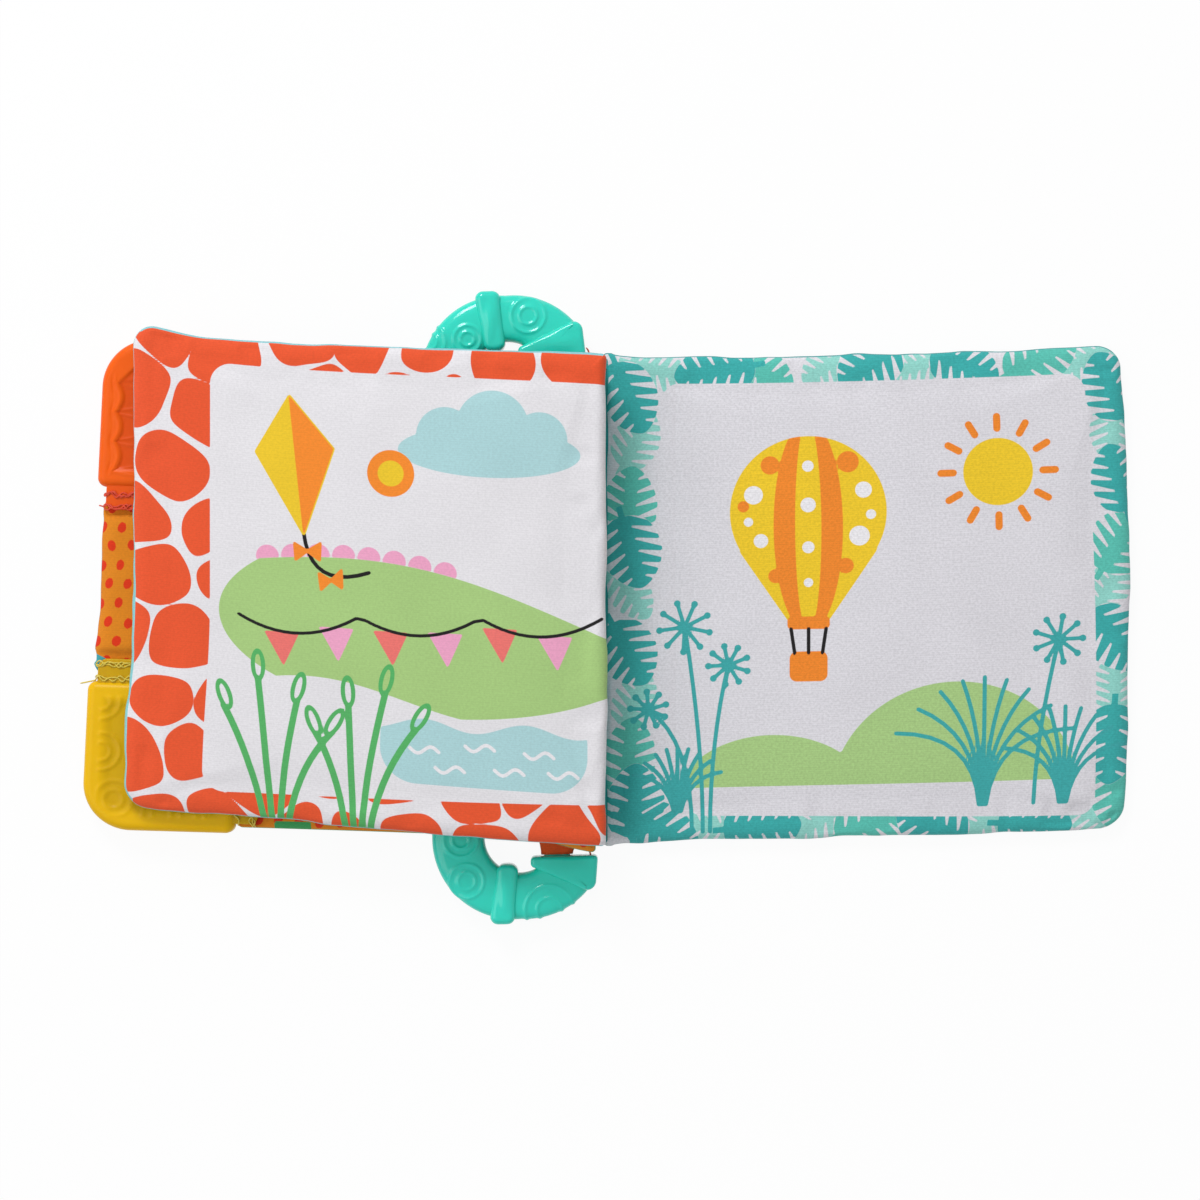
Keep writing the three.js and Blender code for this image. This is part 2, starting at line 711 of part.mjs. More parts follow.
// The left pages are drawn out from the spine and then turned over the seam, so their upper side is -1
const left = new THREE.Group();
left.position.set(0, pagesUp, hingeHeight);
left.rotation.y = Math.PI - coverTilt;
left.add(
  piece("front_cover_inner_cloth", frontCover.face(-1, { lapped: true }), finishes.amberPrint()),
  piece("front_cover_outer_cloth", join(frontCover.face(1), coverHem()), finishes.cyanPrint()),
  piece("front_cover_crinkle_film", frontCover.layer(filmOver, filmThick), finishes.film()),
  piece("front_cover_wadding", frontCover.layer(waddingOver, waddingThick), finishes.wadding()),
  piece("orange_corner_teether", petalTeether(frontCover, 1), finishes.orangeRubber()),
  piece("yellow_corner_teether", swirlTeether(frontCover, -1), finishes.yellowRubber()),
);

const turning = new THREE.Group();
turning.position.z = -leafLift;
turning.add(
  piece("leaf_front_cloth", leaf.face(-1), finishes.patchPrint()),
  piece("leaf_back_cloth", join(leaf.face(1), leafHem()), finishes.aquaPrint()),
  piece("leaf_crinkle_film", leaf.layer(filmOver, filmThick), finishes.film()),
  piece("leaf_wadding", leaf.layer(waddingOver, waddingThick), finishes.wadding()),
);
left.add(turning);

const carrying = new THREE.Group();
carrying.position.z = handleThick / 2;
carrying.add(
  piece("loop_handle", handle(), finishes.tealPlastic()),
  piece("handle_sleeve", sleeve(), finishes.orangeCloth()),
);

book.add(back, spine, left, carrying);

export default book;
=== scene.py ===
"""Looks of a baby's crinkle cloth book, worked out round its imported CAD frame.

The formulas are in millimetres and in the frame's axes: +X runs across the open book towards the
back cover, +Y up the pages and +Z off the table. A mesh is turned to metres when it is made.
"""

from __future__ import annotations

import json
import logging
import math
from dataclasses import dataclass, replace
from enum import Enum
from typing import Iterable, Sequence

import bpy
import numpy as np
from bpy.types import Material, Node, NodeSocket, NodeTree, Object
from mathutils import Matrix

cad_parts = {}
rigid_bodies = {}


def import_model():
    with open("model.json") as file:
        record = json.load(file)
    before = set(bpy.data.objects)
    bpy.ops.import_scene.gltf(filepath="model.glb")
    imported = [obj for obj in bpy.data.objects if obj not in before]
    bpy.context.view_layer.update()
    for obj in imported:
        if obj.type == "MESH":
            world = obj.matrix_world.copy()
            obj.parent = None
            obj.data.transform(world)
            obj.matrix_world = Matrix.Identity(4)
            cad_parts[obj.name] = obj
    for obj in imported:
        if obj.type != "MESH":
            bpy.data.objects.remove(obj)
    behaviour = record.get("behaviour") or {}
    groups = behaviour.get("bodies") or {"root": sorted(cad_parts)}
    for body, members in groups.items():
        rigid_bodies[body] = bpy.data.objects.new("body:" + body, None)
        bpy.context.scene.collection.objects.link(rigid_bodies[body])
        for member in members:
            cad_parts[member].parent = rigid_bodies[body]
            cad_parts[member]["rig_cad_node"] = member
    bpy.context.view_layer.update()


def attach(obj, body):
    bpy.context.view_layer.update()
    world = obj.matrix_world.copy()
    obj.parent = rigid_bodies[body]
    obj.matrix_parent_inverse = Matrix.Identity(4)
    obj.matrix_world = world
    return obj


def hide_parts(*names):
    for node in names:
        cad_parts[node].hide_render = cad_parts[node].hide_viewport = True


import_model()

log = logging.getLogger("book")

Array = np.ndarray
Places = Sequence[Sequence[float]]
Skin = tuple[Array, list[Array]]  # points, and faces as quads and triangles
MM = 0.001
PAGES_UP = 1.4  # the pages' middle on +Y, from the handle's middle
HINGE_HEIGHT = 16.0  # of the spine's seam, over the table
COVER_TILT = math.radians(4.968)  # the front cover and the leaf lean down to the left
PAD_HALF = 3.1
PAD_CROWN = 0.5
PAGE_CORNER = 6.5
SPINE_CORNER = 1.5
EDGE_ROLL = 5.0  # how far in from its seam a page has rolled up to full height
FOLD_TIGHTER = 1.8  # how many times sooner at the fold
LATTICE = 64  # cells of the random lattice, after which it repeats
QUARTER_STEPS = 6  # of a plate's rounded edge


# Numbers over whole arrays


def smooth(value: Array, low: float, high: float) -> Array:
    """Rise from 0 at low to 1 at high along 3t^2 - 2t^3."""
    share = np.clip((value - low) / (high - low), 0, 1)
    return share * share * (3 - 2 * share)


def spread(field: Array, rows: tuple[Array, Array], columns: tuple[Array, Array],
           sigma: float) -> Array:
    """Carry a field from one grid to another, softened by a bell curve.

    Each new value is the mean of the old ones, weighed by exp(-distance^2 / 2 sigma^2) along both
    ways.

    Args:
        field: Values on the old grid.
        rows: Places of the old and of the new rows, in mm.
        columns: Places of the old and of the new columns, in mm.
        sigma: Width of the bell curve, in mm.

    Returns:
        Values on the new grid.
    """
    weights = []
    for old, new in (rows, columns):
        bell = np.exp(-((new[:, None] - old[None, :]) ** 2) / (2 * sigma * sigma))
        weights.append(bell / bell.sum(axis=1, keepdims=True))
    return weights[0] @ field @ weights[1].T


def noise(x: Array, y: Array, size: float, seed: int) -> Array:
    """Smooth random field: the values of a lattice's corners, joined by 3t^2 - 2t^3.

    Args:
        x, y: Places across and up, in mm.
        size: Side of a cell of the lattice, in mm.
        seed: Seed of the corners' values.

    Returns:
        Values from -1 to 1.
    """
    lattice = np.random.default_rng(seed).uniform(-1, 1, (LATTICE, LATTICE))
    column, row = x / size + LATTICE // 2, y / size + LATTICE // 2
    left, low = np.floor(column).astype(int), np.floor(row).astype(int)
    across, up = smooth(column - left, 0, 1), smooth(row - low, 0, 1)
    at = lambda i, j: lattice[(left + i) % LATTICE, (low + j) % LATTICE]
    below = at(0, 0) * (1 - across) + at(1, 0) * across
    above = at(0, 1) * (1 - across) + at(1, 1) * across
    return below * (1 - up) + above * up


def ridge(value: Array, place: float, wide: float) -> Array:
    """A smooth ridge of height 1: exp(-((value - place) / wide)^2)."""
    return np.exp(-(((value - place) / wide) ** 2))


# Flat shapes as distances: below 0 inside, in mm


def disc(x: Array, y: Array, across: float, up: float, radius: float) -> Array:
    """Distance to a disc."""
    return np.hypot(x - across, y - up) - radius


def oval(x: Array, y: Array, across: float, up: float, wide: float, high: float,
         turn: float = 0) -> Array:
    """Distance to an ellipse, to first order: (k - 1) k / |gradient of k^2| / 2.

    Args:
        x, y: Places across and up.
        across, up: Middle of the ellipse.
        wide, high: Its half width and height.
        turn: Its turn, in radians.

    Returns:
        The distances.
    """
    c, s = math.cos(turn), math.sin(turn)
    a = (x - across) * c + (y - up) * s
    b = (y - up) * c - (x - across) * s
    k = np.hypot(a / wide, b / high)
    return k * (k - 1) / np.maximum(np.hypot(a / wide**2, b / high**2), 1e-9)


def box(x: Array, y: Array, low: Sequence[float], high: Sequence[float],
        radius: float | Array = 0) -> Array:
    """Distance to a rectangle with rounded corners.

    Args:
        x, y: Places across and up.
        low, high: Its lower left and upper right corner.
        radius: Radius of its corners.

    Returns:
        The distances.
    """
    a = np.abs(x - (low[0] + high[0]) / 2) - (high[0] - low[0]) / 2 + radius
    b = np.abs(y - (low[1] + high[1]) / 2) - (high[1] - low[1]) / 2 + radius
    outside = np.hypot(np.maximum(a, 0), np.maximum(b, 0))
    return outside + np.minimum(np.maximum(a, b), 0) - radius


def stroke(x: Array, y: Array, points: Places, wide: float) -> Array:
    """Distance to a pen line: the least distance to its straight runs, less half its width.

    Args:
        x, y: Places across and up.
        points: Corners of the line.
        wide: Width of the pen.

    Returns:
        The distances.
    """
    path = np.asarray(points, float)
    best = np.full(x.shape, np.inf)
    for (ax, ay), (bx, by) in zip(path[:-1], path[1:]):
        ex, ey = bx - ax, by - ay
        along = np.clip(((x - ax) * ex + (y - ay) * ey) / (ex * ex + ey * ey), 0, 1)
        best = np.minimum(best, (x - ax - ex * along) ** 2 + (y - ay - ey * along) ** 2)
    return np.sqrt(best) - wide / 2


def polygon(x: Array, y: Array, corners: Places, radius: float = 0) -> Array:
    """Distance to a polygon: that to its sides, below 0 where a ray crosses them oddly.

    Args:
        x, y: Places across and up.
        corners: Its corners in order.
        radius: How far it is swollen.

    Returns:
        The distances.
    """
    path = np.asarray(corners, float)
    inside = np.zeros(x.shape, bool)
    for (ax, ay), (bx, by) in zip(path, np.roll(path, -1, axis=0)):
        if ay != by:
            inside ^= ((ay > y) != (by > y)) & (x < ax + (bx - ax) * (y - ay) / (by - ay))
    edge = stroke(x, y, [*path, path[0]], 0)
    return np.where(inside, -edge, edge) - radius


def either(*fields: Array) -> Array:
    """Union of shapes."""
    return np.minimum.reduce(fields)


def without(shape: Array, *others: Array) -> Array:
    """A shape with others cut out of it."""
    return np.maximum.reduce([shape, *(-other for other in others)])


def discs(x: Array, y: Array, places: Iterable[Sequence[float]]) -> Array:
    """Union of discs: (across, up, radius)."""
    return either(*(disc(x, y, *place) for place in places))


def ovals(x: Array, y: Array, places: Iterable[Sequence[float]]) -> Array:
    """Union of ellipses: (across, up, wide, high, turn)."""
    return either(*(oval(x, y, *place) for place in places))


def strokes(x: Array, y: Array, lines: Iterable[Places], wide: float) -> Array:
    """Union of pen lines of one width."""
    return either(*(stroke(x, y, line, wide) for line in lines))


def polygons(x: Array, y: Array, shapes: Iterable[Places], radius: float) -> Array:
    """Union of polygons, all swollen alike."""
    return either(*(polygon(x, y, corners, radius) for corners in shapes))


def curve(start: Sequence[float], bend: Sequence[float], end: Sequence[float],
          steps: int = 10) -> Array:
    """Points along a quadratic curve: (1-t)^2 start + 2t(1-t) bend + t^2 end."""
    t = np.linspace(0, 1, steps + 1)[:, None]
    return (1 - t) ** 2 * np.array(start) + 2 * t * (1 - t) * np.array(bend) + t * t * np.array(end)


# Meshes


def outward(points: Array, faces: Array) -> Array:
    """Turn the faces of a closed mesh outwards.

    They point inwards if its volume, the sum of a.(b x c)/6 over its triangles, is below 0.

    Args:
        points: Its points.
        faces: Its faces, with one count of corners.

    Returns:
        The same faces, or the faces turned.
    """
    corner = points[faces]
    total = 0.0
    for second in range(1, faces.shape[1] - 1):
        normals = np.cross(corner[:, second], corner[:, second + 1])
        total += np.einsum("ij,ij->", corner[:, 0], normals)
    return faces if total > 0 else faces[:, ::-1]


def linked(name: str, data: bpy.types.ID) -> Object:
    """Link a new object to the scene.

    Args:
        name: Its name.
        data: Its mesh, lamp or camera.

    Returns:
        The object.
    """
    made = bpy.data.objects.new(name, data)
    bpy.context.scene.collection.objects.link(made)
    return made


def new_mesh(name: str, points: Array, groups: Sequence[Array], *materials: Material) -> Object:
    """Make a smooth object at the origin, and report it.

    Args:
        name: Name of the piece.
        points: Its points, in mm.
        groups: Arrays of faces that face outwards, each with one count of corners.
        *materials: Its materials.

    Returns:
        The linked object.
    """
    mesh = bpy.data.meshes.new(name)
    loops = np.concatenate([group.ravel() for group in groups]).astype(np.int32)
    sizes = np.concatenate([np.full(len(group), group.shape[1]) for group in groups])
    starts = np.concatenate([[0], np.cumsum(sizes)[:-1]]).astype(np.int32)
    mesh.vertices.add(len(points))
    mesh.vertices.foreach_set("co", (points * MM).astype(np.float32).ravel())
    mesh.loops.add(len(loops))
    mesh.loops.foreach_set("vertex_index", loops)
    mesh.polygons.add(len(sizes))
    mesh.polygons.foreach_set("loop_start", starts)
    mesh.polygons.foreach_set("use_smooth", np.ones(len(sizes), bool))
    mesh.update(calc_edges=True)
    mesh.validate()
    for material in materials:
        mesh.materials.append(material)
    log.info("%s: %d faces", name, len(sizes))
    return linked(name, mesh)


def skin(rings: Array, caps: tuple[Array, Array] | None = None) -> Skin:
    """Close a grid of rings with a fan of triangles to a pole at each end.

    Args:
        rings: Points as (ring, step, xyz).
        caps: The two poles, which are the end rings' middles if none are given.

    Returns:
        The skin.
    """
    caps = caps or (rings[0].mean(axis=0), rings[-1].mean(axis=0))
    count, steps = rings.shape[:2]
    points = np.concatenate([rings.reshape(-1, 3), np.array(caps)])
    at = np.arange(count * steps).reshape(count, steps)
    ahead = np.roll(at, -1, axis=1)
    quads = np.stack([at[:-1], ahead[:-1], ahead[1:], at[1:]], axis=-1).reshape(-1, 4)
    first, last = count * steps, count * steps + 1
    fans = np.concatenate([
        np.stack([np.full(steps, first), ahead[0], at[0]], axis=1),
        np.stack([np.full(steps, last), at[-1], ahead[-1]], axis=1),
    ])
    turned = outward(points, quads) is not quads
    return points, [quads[:, ::-1], fans[:, ::-1]] if turned else [quads, fans]


def merged(parts: Iterable[Skin]) -> Skin:
    """Put several closed skins into one.

    Args:
        parts: Points, quads and triangles of each.

    Returns:
        The skin.
    """
    points, quads, fans, seen = [], [], [], 0
    for part_points, (part_quads, part_fans) in parts:
        points.append(part_points)
        quads.append(part_quads + seen)
        fans.append(part_fans + seen)
        seen += len(part_points)
    return np.concatenate(points), [np.concatenate(quads), np.concatenate(fans)]


def tube(path: Array, radius: float, sides: int = 7) -> Skin:
    """Closed round tube along a path, drawn in two directions square to its run.

    Args:
        path: Points of its middle, in mm.
        radius: Its radius, which is less at the two ends.
        sides: Count of its sides.

    Returns:
        The skin.
    """
    run = np.gradient(path, axis=0)
    run /= np.linalg.norm(run, axis=1, keepdims=True)
    aside = np.cross(run, np.array([0.0, 0.0, 1.0]))
    aside /= np.maximum(np.linalg.norm(aside, axis=1, keepdims=True), 1e-6)
    over = np.cross(aside, run)
    angle = np.linspace(0, 2 * math.pi, sides, endpoint=False)
    size = np.full(len(path), radius)
    size[[0, -1]] = radius * 0.6
    circle = aside[:, None] * np.cos(angle)[:, None] + over[:, None] * np.sin(angle)[:, None]
    rings = path[:, None] + circle * size[:, None, None]
    return skin(rings, (path[0] - run[0] * radius * 0.5, path[-1] + run[-1] * radius * 0.5))


@dataclass(frozen=True)
class Outline:
    """Straight sides with a round corner at each place, anticlockwise: (x, y, radius)."""

    places: tuple[tuple[float, float, float], ...]
    arc_steps: int = 8
    side_step: float = 1.0

    def ring(self, inset: float) -> Array:
        """Points of the outline moved in by an inset, always as many.

        A corner's middle lies r (n1 + n2) / (1 + n1.n2) in from its place, where n1 and n2 are the
        inward normals of its two sides. A hollow corner's middle lies as far out, and its radius
        grows.

        Args:
            inset: How far in, in mm.

        Returns:
            The points as (step, xy).
        """
        places = np.array(self.places)
        along = np.roll(places[:, :2], -1, axis=0) - places[:, :2]
        lengths = np.linalg.norm(along, axis=1)
        along /= lengths[:, None]
        inward = np.stack([-along[:, 1], along[:, 0]], axis=1)
        arcs = []
        for index, (x, y, radius) in enumerate(places):
            before, after = inward[index - 1], inward[index]
            turn = np.sign(before[0] * after[1] - before[1] * after[0])
            if turn > 0:
                radius = max(radius, inset + 0.3)
            middle = np.array([x, y]) + turn * radius * (before + after) / (1 + before @ after)
            start = math.atan2(before[1], before[0])
            end = math.atan2(after[1], after[0])
            sweep = (end - start + math.pi) % (2 * math.pi) - math.pi
            angle = start + sweep * np.linspace(0, 1, self.arc_steps + 1)
            reach = turn * radius - inset
            arcs.append(middle - reach * np.stack([np.cos(angle), np.sin(angle)], axis=1))
        points = []
        for index, arc in enumerate(arcs):
            onward = arcs[(index + 1) % len(arcs)][0]
            count = max(int(lengths[index] / self.side_step), 2)
            share = np.arange(1, count)[:, None] / count
            points += [arc, arc[-1] + (onward - arc[-1]) * share]
        return np.concatenate(points)

    def plate(self, low: float, high: float, round_edge: float, inner: int,
              dome: float = 0.0) -> Array:
        """Rings of a plate with quarter-round edges: over its top, down its side and back below.

        A dome lifts its top by d (1 - (a/w)^2 - (b/h)^2)^2, which is level where the edge starts.

        Args:
            low, high: Heights of its base and top.
            round_edge: Radius of its edges.
            inner: Count of rings on its flat top and on its base.
            dome: Height of the dome.

        Returns:
            The points as (ring, step, xyz).
        """
        rim = self.ring(round_edge)
        middle = rim.mean(axis=0)
        quarter = np.linspace(0, math.pi / 2, QUARTER_STEPS + 1)[1:]
        flat = middle + np.linspace(0.02, 1, inner)[:, None, None] * (rim - middle)
        upper = np.concatenate([flat, [self.ring(round_edge * (1 - math.sin(a))) for a in quarter]])
        drop = np.concatenate([np.zeros(inner), round_edge * (1 - np.cos(quarter))])[:, None]
        away = ((upper - middle) / ((rim.max(axis=0) - rim.min(axis=0)) / 2)) ** 2
        crown = dome * np.maximum(1 - away.sum(axis=2), 0) ** 2
        top = np.concatenate([upper, (high - drop + crown)[..., None]], axis=2)
        base = np.concatenate([upper, (low + drop + 0 * crown)[..., None]], axis=2)
        return np.concatenate([top, base[::-1]])


# Finishes


def linear(code: str) -> tuple[float, float, float, float]:
    """Linear colour of an sRGB hex value: c/12.92 up to 0.04045, else ((c + 0.055)/1.055)^2.4.

    Args:
        code: The colour as #RRGGBB.

    Returns:
        Red, green, blue and an alpha of 1.
    """
    parts = [int(code[i : i + 2], 16) / 255 for i in (1, 3, 5)]
    red, green, blue = (
        c / 12.92 if c <= 0.04045 else ((c + 0.055) / 1.055) ** 2.4 for c in parts)
    return (red, green, blue, 1.0)


def add(tree: NodeTree, kind: str, inputs: dict | None = None, **settings: object) -> Node:
    """Add a node with its settings and links.

    Args:
        tree: Tree that it goes into.
        kind: Type of the node, which ShaderNode goes before.
        inputs: A value or a socket to link from, for each named or numbered input.
        **settings: Values of the node's own properties.

    Returns:
        The node.
    """
    node = tree.nodes.new("ShaderNode" + kind)
    for key, value in settings.items():
        setattr(node, key, value)
    for key, value in (inputs or {}).items():
        socket = node.inputs[key]
        if isinstance(value, NodeSocket):
            tree.links.new(value, socket)
        else:
            socket.default_value = value
    return node


def fresh_tree(name: str) -> tuple[Material, NodeTree]:
    """Make a material with an empty node tree.

    Args:
        name: Its name.

    Returns:
        The material and its tree.
    """
    made = bpy.data.materials.new(name)
    made.use_nodes = True
    made.node_tree.nodes.clear()
    return made, made.node_tree


def span(tree: NodeTree, value: NodeSocket, low: float, high: float,
         start: float = 0.0, end: float = 1.0) -> NodeSocket:
    """Carry a value from the range start to end over to the range low to high."""
    return add(tree, "MapRange", {
        "Value": value, "From Min": start, "From Max": end, "To Min": low, "To Max": high}).outputs[0]


@dataclass(frozen=True)
class Cloth:
    """Printed polyester knit: soft, matte, with a sandy crepe grain and faint level courses.

    Its print is laid on in the order of its inks, each where the piece's distance field of that
    name is below 0, so that the edges of the print stay crisp. To the eye it is flat colour that
    turns a little lighter at the pages' edges, where its nap catches the light.
    """

    name: str
    base: str
    inks: tuple[tuple[str, str], ...] = ()
    grain: float = 0.42  # mm, as coarse as the crepe shows
    course: float = 0.62  # mm from course to course
    crepe: float = 1.0  # how strong the grain is
    roughness: float = 0.82
    ink_edge: float = 0.08  # mm over which an ink's edge softens

    def printed_colour(self, tree: NodeTree) -> NodeSocket:
        """Lay each ink on the base colour.

        Args:
            tree: Tree of the material.

        Returns:
            The colour.
        """
        colour = add(tree, "RGB").outputs[0]
        colour.default_value = linear(self.base)
        for ink, field in self.inks:
            distance = add(tree, "Attribute", attribute_name=field).outputs["Fac"]
            laid = span(tree, distance, 0.0, 1.0, self.ink_edge, -self.ink_edge)
            colour = add(tree, "Mix", {
                0: laid, 6: colour, 7: linear(ink)}, data_type="RGBA").outputs[2]
        return colour

    def material(self) -> Material:
        """Build the node tree.

        Returns:
            The material.
        """
        made, tree = fresh_tree(self.name)
        place = add(tree, "Attribute", attribute_name="cloth_mm").outputs["Vector"]
        colour = self.printed_colour(tree)
        # A fine random grain with a tenth of level courses, which the eye reads as crepe knit.
        grain = add(tree, "TexNoise", {
            "Vector": place, "Scale": 0.6 / self.grain, "Detail": 2.5,
            "Roughness": 0.7}).outputs["Fac"]
        course = add(tree, "TexWave", {
            "Vector": place, "Scale": 0.314 / self.course, "Distortion": 1.2, "Detail": 2.0,
            "Detail Scale": 2.0}, bands_direction="Y").outputs["Fac"]
        relief = add(tree, "Mix", {0: 0.9, 2: course, 3: grain}, data_type="FLOAT").outputs[0]
        # Broad faint patches, as cloth that has been handled has.
        worn = add(tree, "TexNoise", {
            "Vector": place, "Scale": 0.045, "Detail": 3.0}).outputs["Fac"]
        speckle = 0.06 * self.crepe
        fine = span(tree, relief, 1 - speckle, 1 + speckle, 0.36, 0.64)
        broad = span(tree, worn, 0.975, 1.025, 0.3, 0.7)
        shade = add(tree, "Math", {0: fine, 1: broad}, operation="MULTIPLY").outputs[0]
        tinted = add(tree, "VectorMath", {0: colour, "Scale": shade}, operation="SCALE").outputs[0]
        rough = span(tree, grain, self.roughness - 0.06, self.roughness + 0.06)
        bump = add(tree, "Bump", {
            "Strength": 0.3 * self.crepe, "Distance": 0.0001, "Height": relief}).outputs[0]
        cloth = add(tree, "BsdfPrincipled", {
            "Base Color": tinted, "Roughness": rough, "Normal": bump, "IOR": 1.5,
            "Sheen Weight": 0.1, "Sheen Roughness": 0.5, "Specular IOR Level": 0.2})
        add(tree, "OutputMaterial", {"Surface": cloth.outputs[0]})
        return made


@dataclass(frozen=True)
class Plastic:
    """Moulded plastic or rubber: a colour with a faint flow mottle and a slight orange-peel relief.

    Where the piece's painted-shade attribute is 1 it takes its darker colour: painted shade, as
    on a plate that lies below its rim.
    """

    name: str
    colour: str
    roughness: float
    through: float = 0.0  # share of the light that goes through the skin
    mottle: float = 7.0  # mm
    peel: float = 0.6  # mm, as coarse as the orange peel shows
    # darker colour of the painted shade on a plate below its rim and on a flange; none if empty
    sunk: str = ""
    shine: float = 0.5

    def material(self) -> Material:
        """Build the node tree.

        Returns:
            The material.
        """
        made, tree = fresh_tree(self.name)
        place = add(tree, "TexCoord").outputs["Object"]
        # The flow mottle keeps a wide face from looking flat, and the peel breaks its highlights.
        flow = add(tree, "TexNoise", {
            "Vector": place, "Scale": 1 / MM / self.mottle, "Detail": 3.0}).outputs["Fac"]
        fine = add(tree, "TexNoise", {
            "Vector": place, "Scale": 0.96 / MM / self.peel, "Detail": 2.0}).outputs["Fac"]
        # Painted shade: the colour turns to the darker one as the points' shade share goes to 1.
        share = add(tree, "Attribute", attribute_name="sunk").outputs["Fac"]
        colour = add(tree, "Mix", {
            0: share, 6: linear(self.colour), 7: linear(self.sunk or self.colour)},
            data_type="RGBA").outputs[2]
        shade = span(tree, flow, 0.95, 1.05)
        tinted = add(tree, "VectorMath", {0: colour, "Scale": shade}, operation="SCALE").outputs[0]
        rough = span(tree, flow, self.roughness - 0.05, self.roughness + 0.05)
        bump = add(tree, "Bump", {
            "Strength": 0.15, "Distance": 0.00008, "Height": fine}).outputs[0]
        moulded = add(tree, "BsdfPrincipled", {
            "Base Color": tinted, "Roughness": rough, "Normal": bump, "IOR": 1.5,
            "Specular IOR Level": self.shine, "Subsurface Weight": self.through,
            "Subsurface Scale": 0.002})
        add(tree, "OutputMaterial", {"Surface": moulded.outputs[0]})
        return made


# Prints


class Print:
    """A print on cloth: a base colour and inks, each with its distance field over the flat cloth."""

    name: str
    base: str

    def inks(self, x: Array, y: Array) -> list[tuple[str, Array]]:
        """Colours in the order that they are laid on, each with its field."""
        return []

    def cloth(self, inks: tuple[tuple[str, str], ...]) -> Cloth:
        """The cloth that it is printed on."""
        return Cloth(f"{self.name}_polyester_knit", self.base, inks)


@dataclass
class Dots(Print):
    """Oval dots on a centred lattice, each shifted and turned a little."""

    name: str
    base: str
    ink: str
    pitch: tuple[float, float]
    size: tuple[float, float]
    stray: float = 0.35  # mm that a dot lies off its place

    def inks(self, x: Array, y: Array) -> list[tuple[str, Array]]:
        """One ink: for the nearest place of either lattice, (|(a/w, b/h)| - 1) w.

        Args:
            x, y: Places on the flat cloth.

        Returns:
            The ink with its field.
        """
        best = np.full(x.shape, np.inf)
        wide, high = self.size
        for shift in (0.0, 0.5):
            i, j = np.round(x / self.pitch[0] - shift), np.round(y / self.pitch[1] - shift)
            chance = np.sin(12.9 * i + 78.2 * j + 40 * shift)
            other = np.sin(39.3 * i - 11.7 * j + 17 * shift)
            c, s = np.cos(0.25 + 0.12 * chance), np.sin(0.25 + 0.12 * chance)
            u = x - (i + shift) * self.pitch[0] - self.stray * chance
            v = y - (j + shift) * self.pitch[1] - self.stray * other
            away = np.hypot((u * c + v * s) / wide, (v * c - u * s) / high)
            best = np.minimum(best, (away - 1) * wide)
        return [(self.ink, best)]


@dataclass
class Hills(Print):
    """Plain rolling bands in two colours, for the outside of a cover."""

    name: str
    base: str
    ink: str
    height: float
    rise: float = 7.0  # of a hill
    bend: float = 19.0  # mm across for each radian of the wave

    def inks(self, x: Array, y: Array) -> list[tuple[str, Array]]:
        """The ink lies below a wave: y - h - rise sin(x / bend)."""
        return [(self.ink, y - self.height - self.rise * np.sin(x / self.bend))]


def patches(x: Array, y: Array, step: float, gap: float, swing: float, seed: int) -> Array:
    """Animal patches: cells round scattered points, parted by gaps that swell and pinch.

    A cell's edge with a neighbour lies (|p - b|^2 - |p - a|^2) / 2 |b - a| away. The least of
    these, softened by -k log of the sum of exp(-d/k), rounds the corners.

    Args:
        x, y: Places on the flat cloth.
        step: How far apart the points lie.
        gap: Mean width of a gap.
        swing: How far a gap's side swings in and out.
        seed: Seed of the points.

    Returns:
        The distances, below 0 inside a patch.
    """
    rng = np.random.default_rng(seed)
    across = np.arange(x.min() - 2 * step, x.max() + 2 * step, step)
    up = np.arange(y.min() - 2 * step, y.max() + 2 * step, step * 0.92)
    grid = np.stack(np.meshgrid(across, up, indexing="ij"), axis=-1)
    grid[:, ::2, 0] += step / 2
    seeds = (grid + rng.uniform(-0.3, 0.3, grid.shape) * step).reshape(-1, 2)
    spot = np.stack([x.ravel(), y.ravel()], axis=1)
    reach = ((spot[:, None, :] - seeds[None]) ** 2).sum(axis=2)
    nearest = reach.argmin(axis=1)
    apart = np.linalg.norm(seeds[:, None] - seeds[None], axis=2)
    own = reach[np.arange(len(spot)), nearest]
    edge = (reach - own[:, None]) / (2 * np.maximum(apart[nearest], 1e-6))
    edge[np.arange(len(spot)), nearest] = np.inf
    soft, neighbours = 1.7, 6  # mm over which a corner is rounded, by that many nearby cells
    nearby = np.sort(edge, axis=1)[:, :neighbours]
    rounded = -soft * np.log(np.exp(-nearby / soft).sum(axis=1)).reshape(x.shape)
    return gap / 2 + swing * noise(x, y, step * 0.5, seed + 1) - rounded


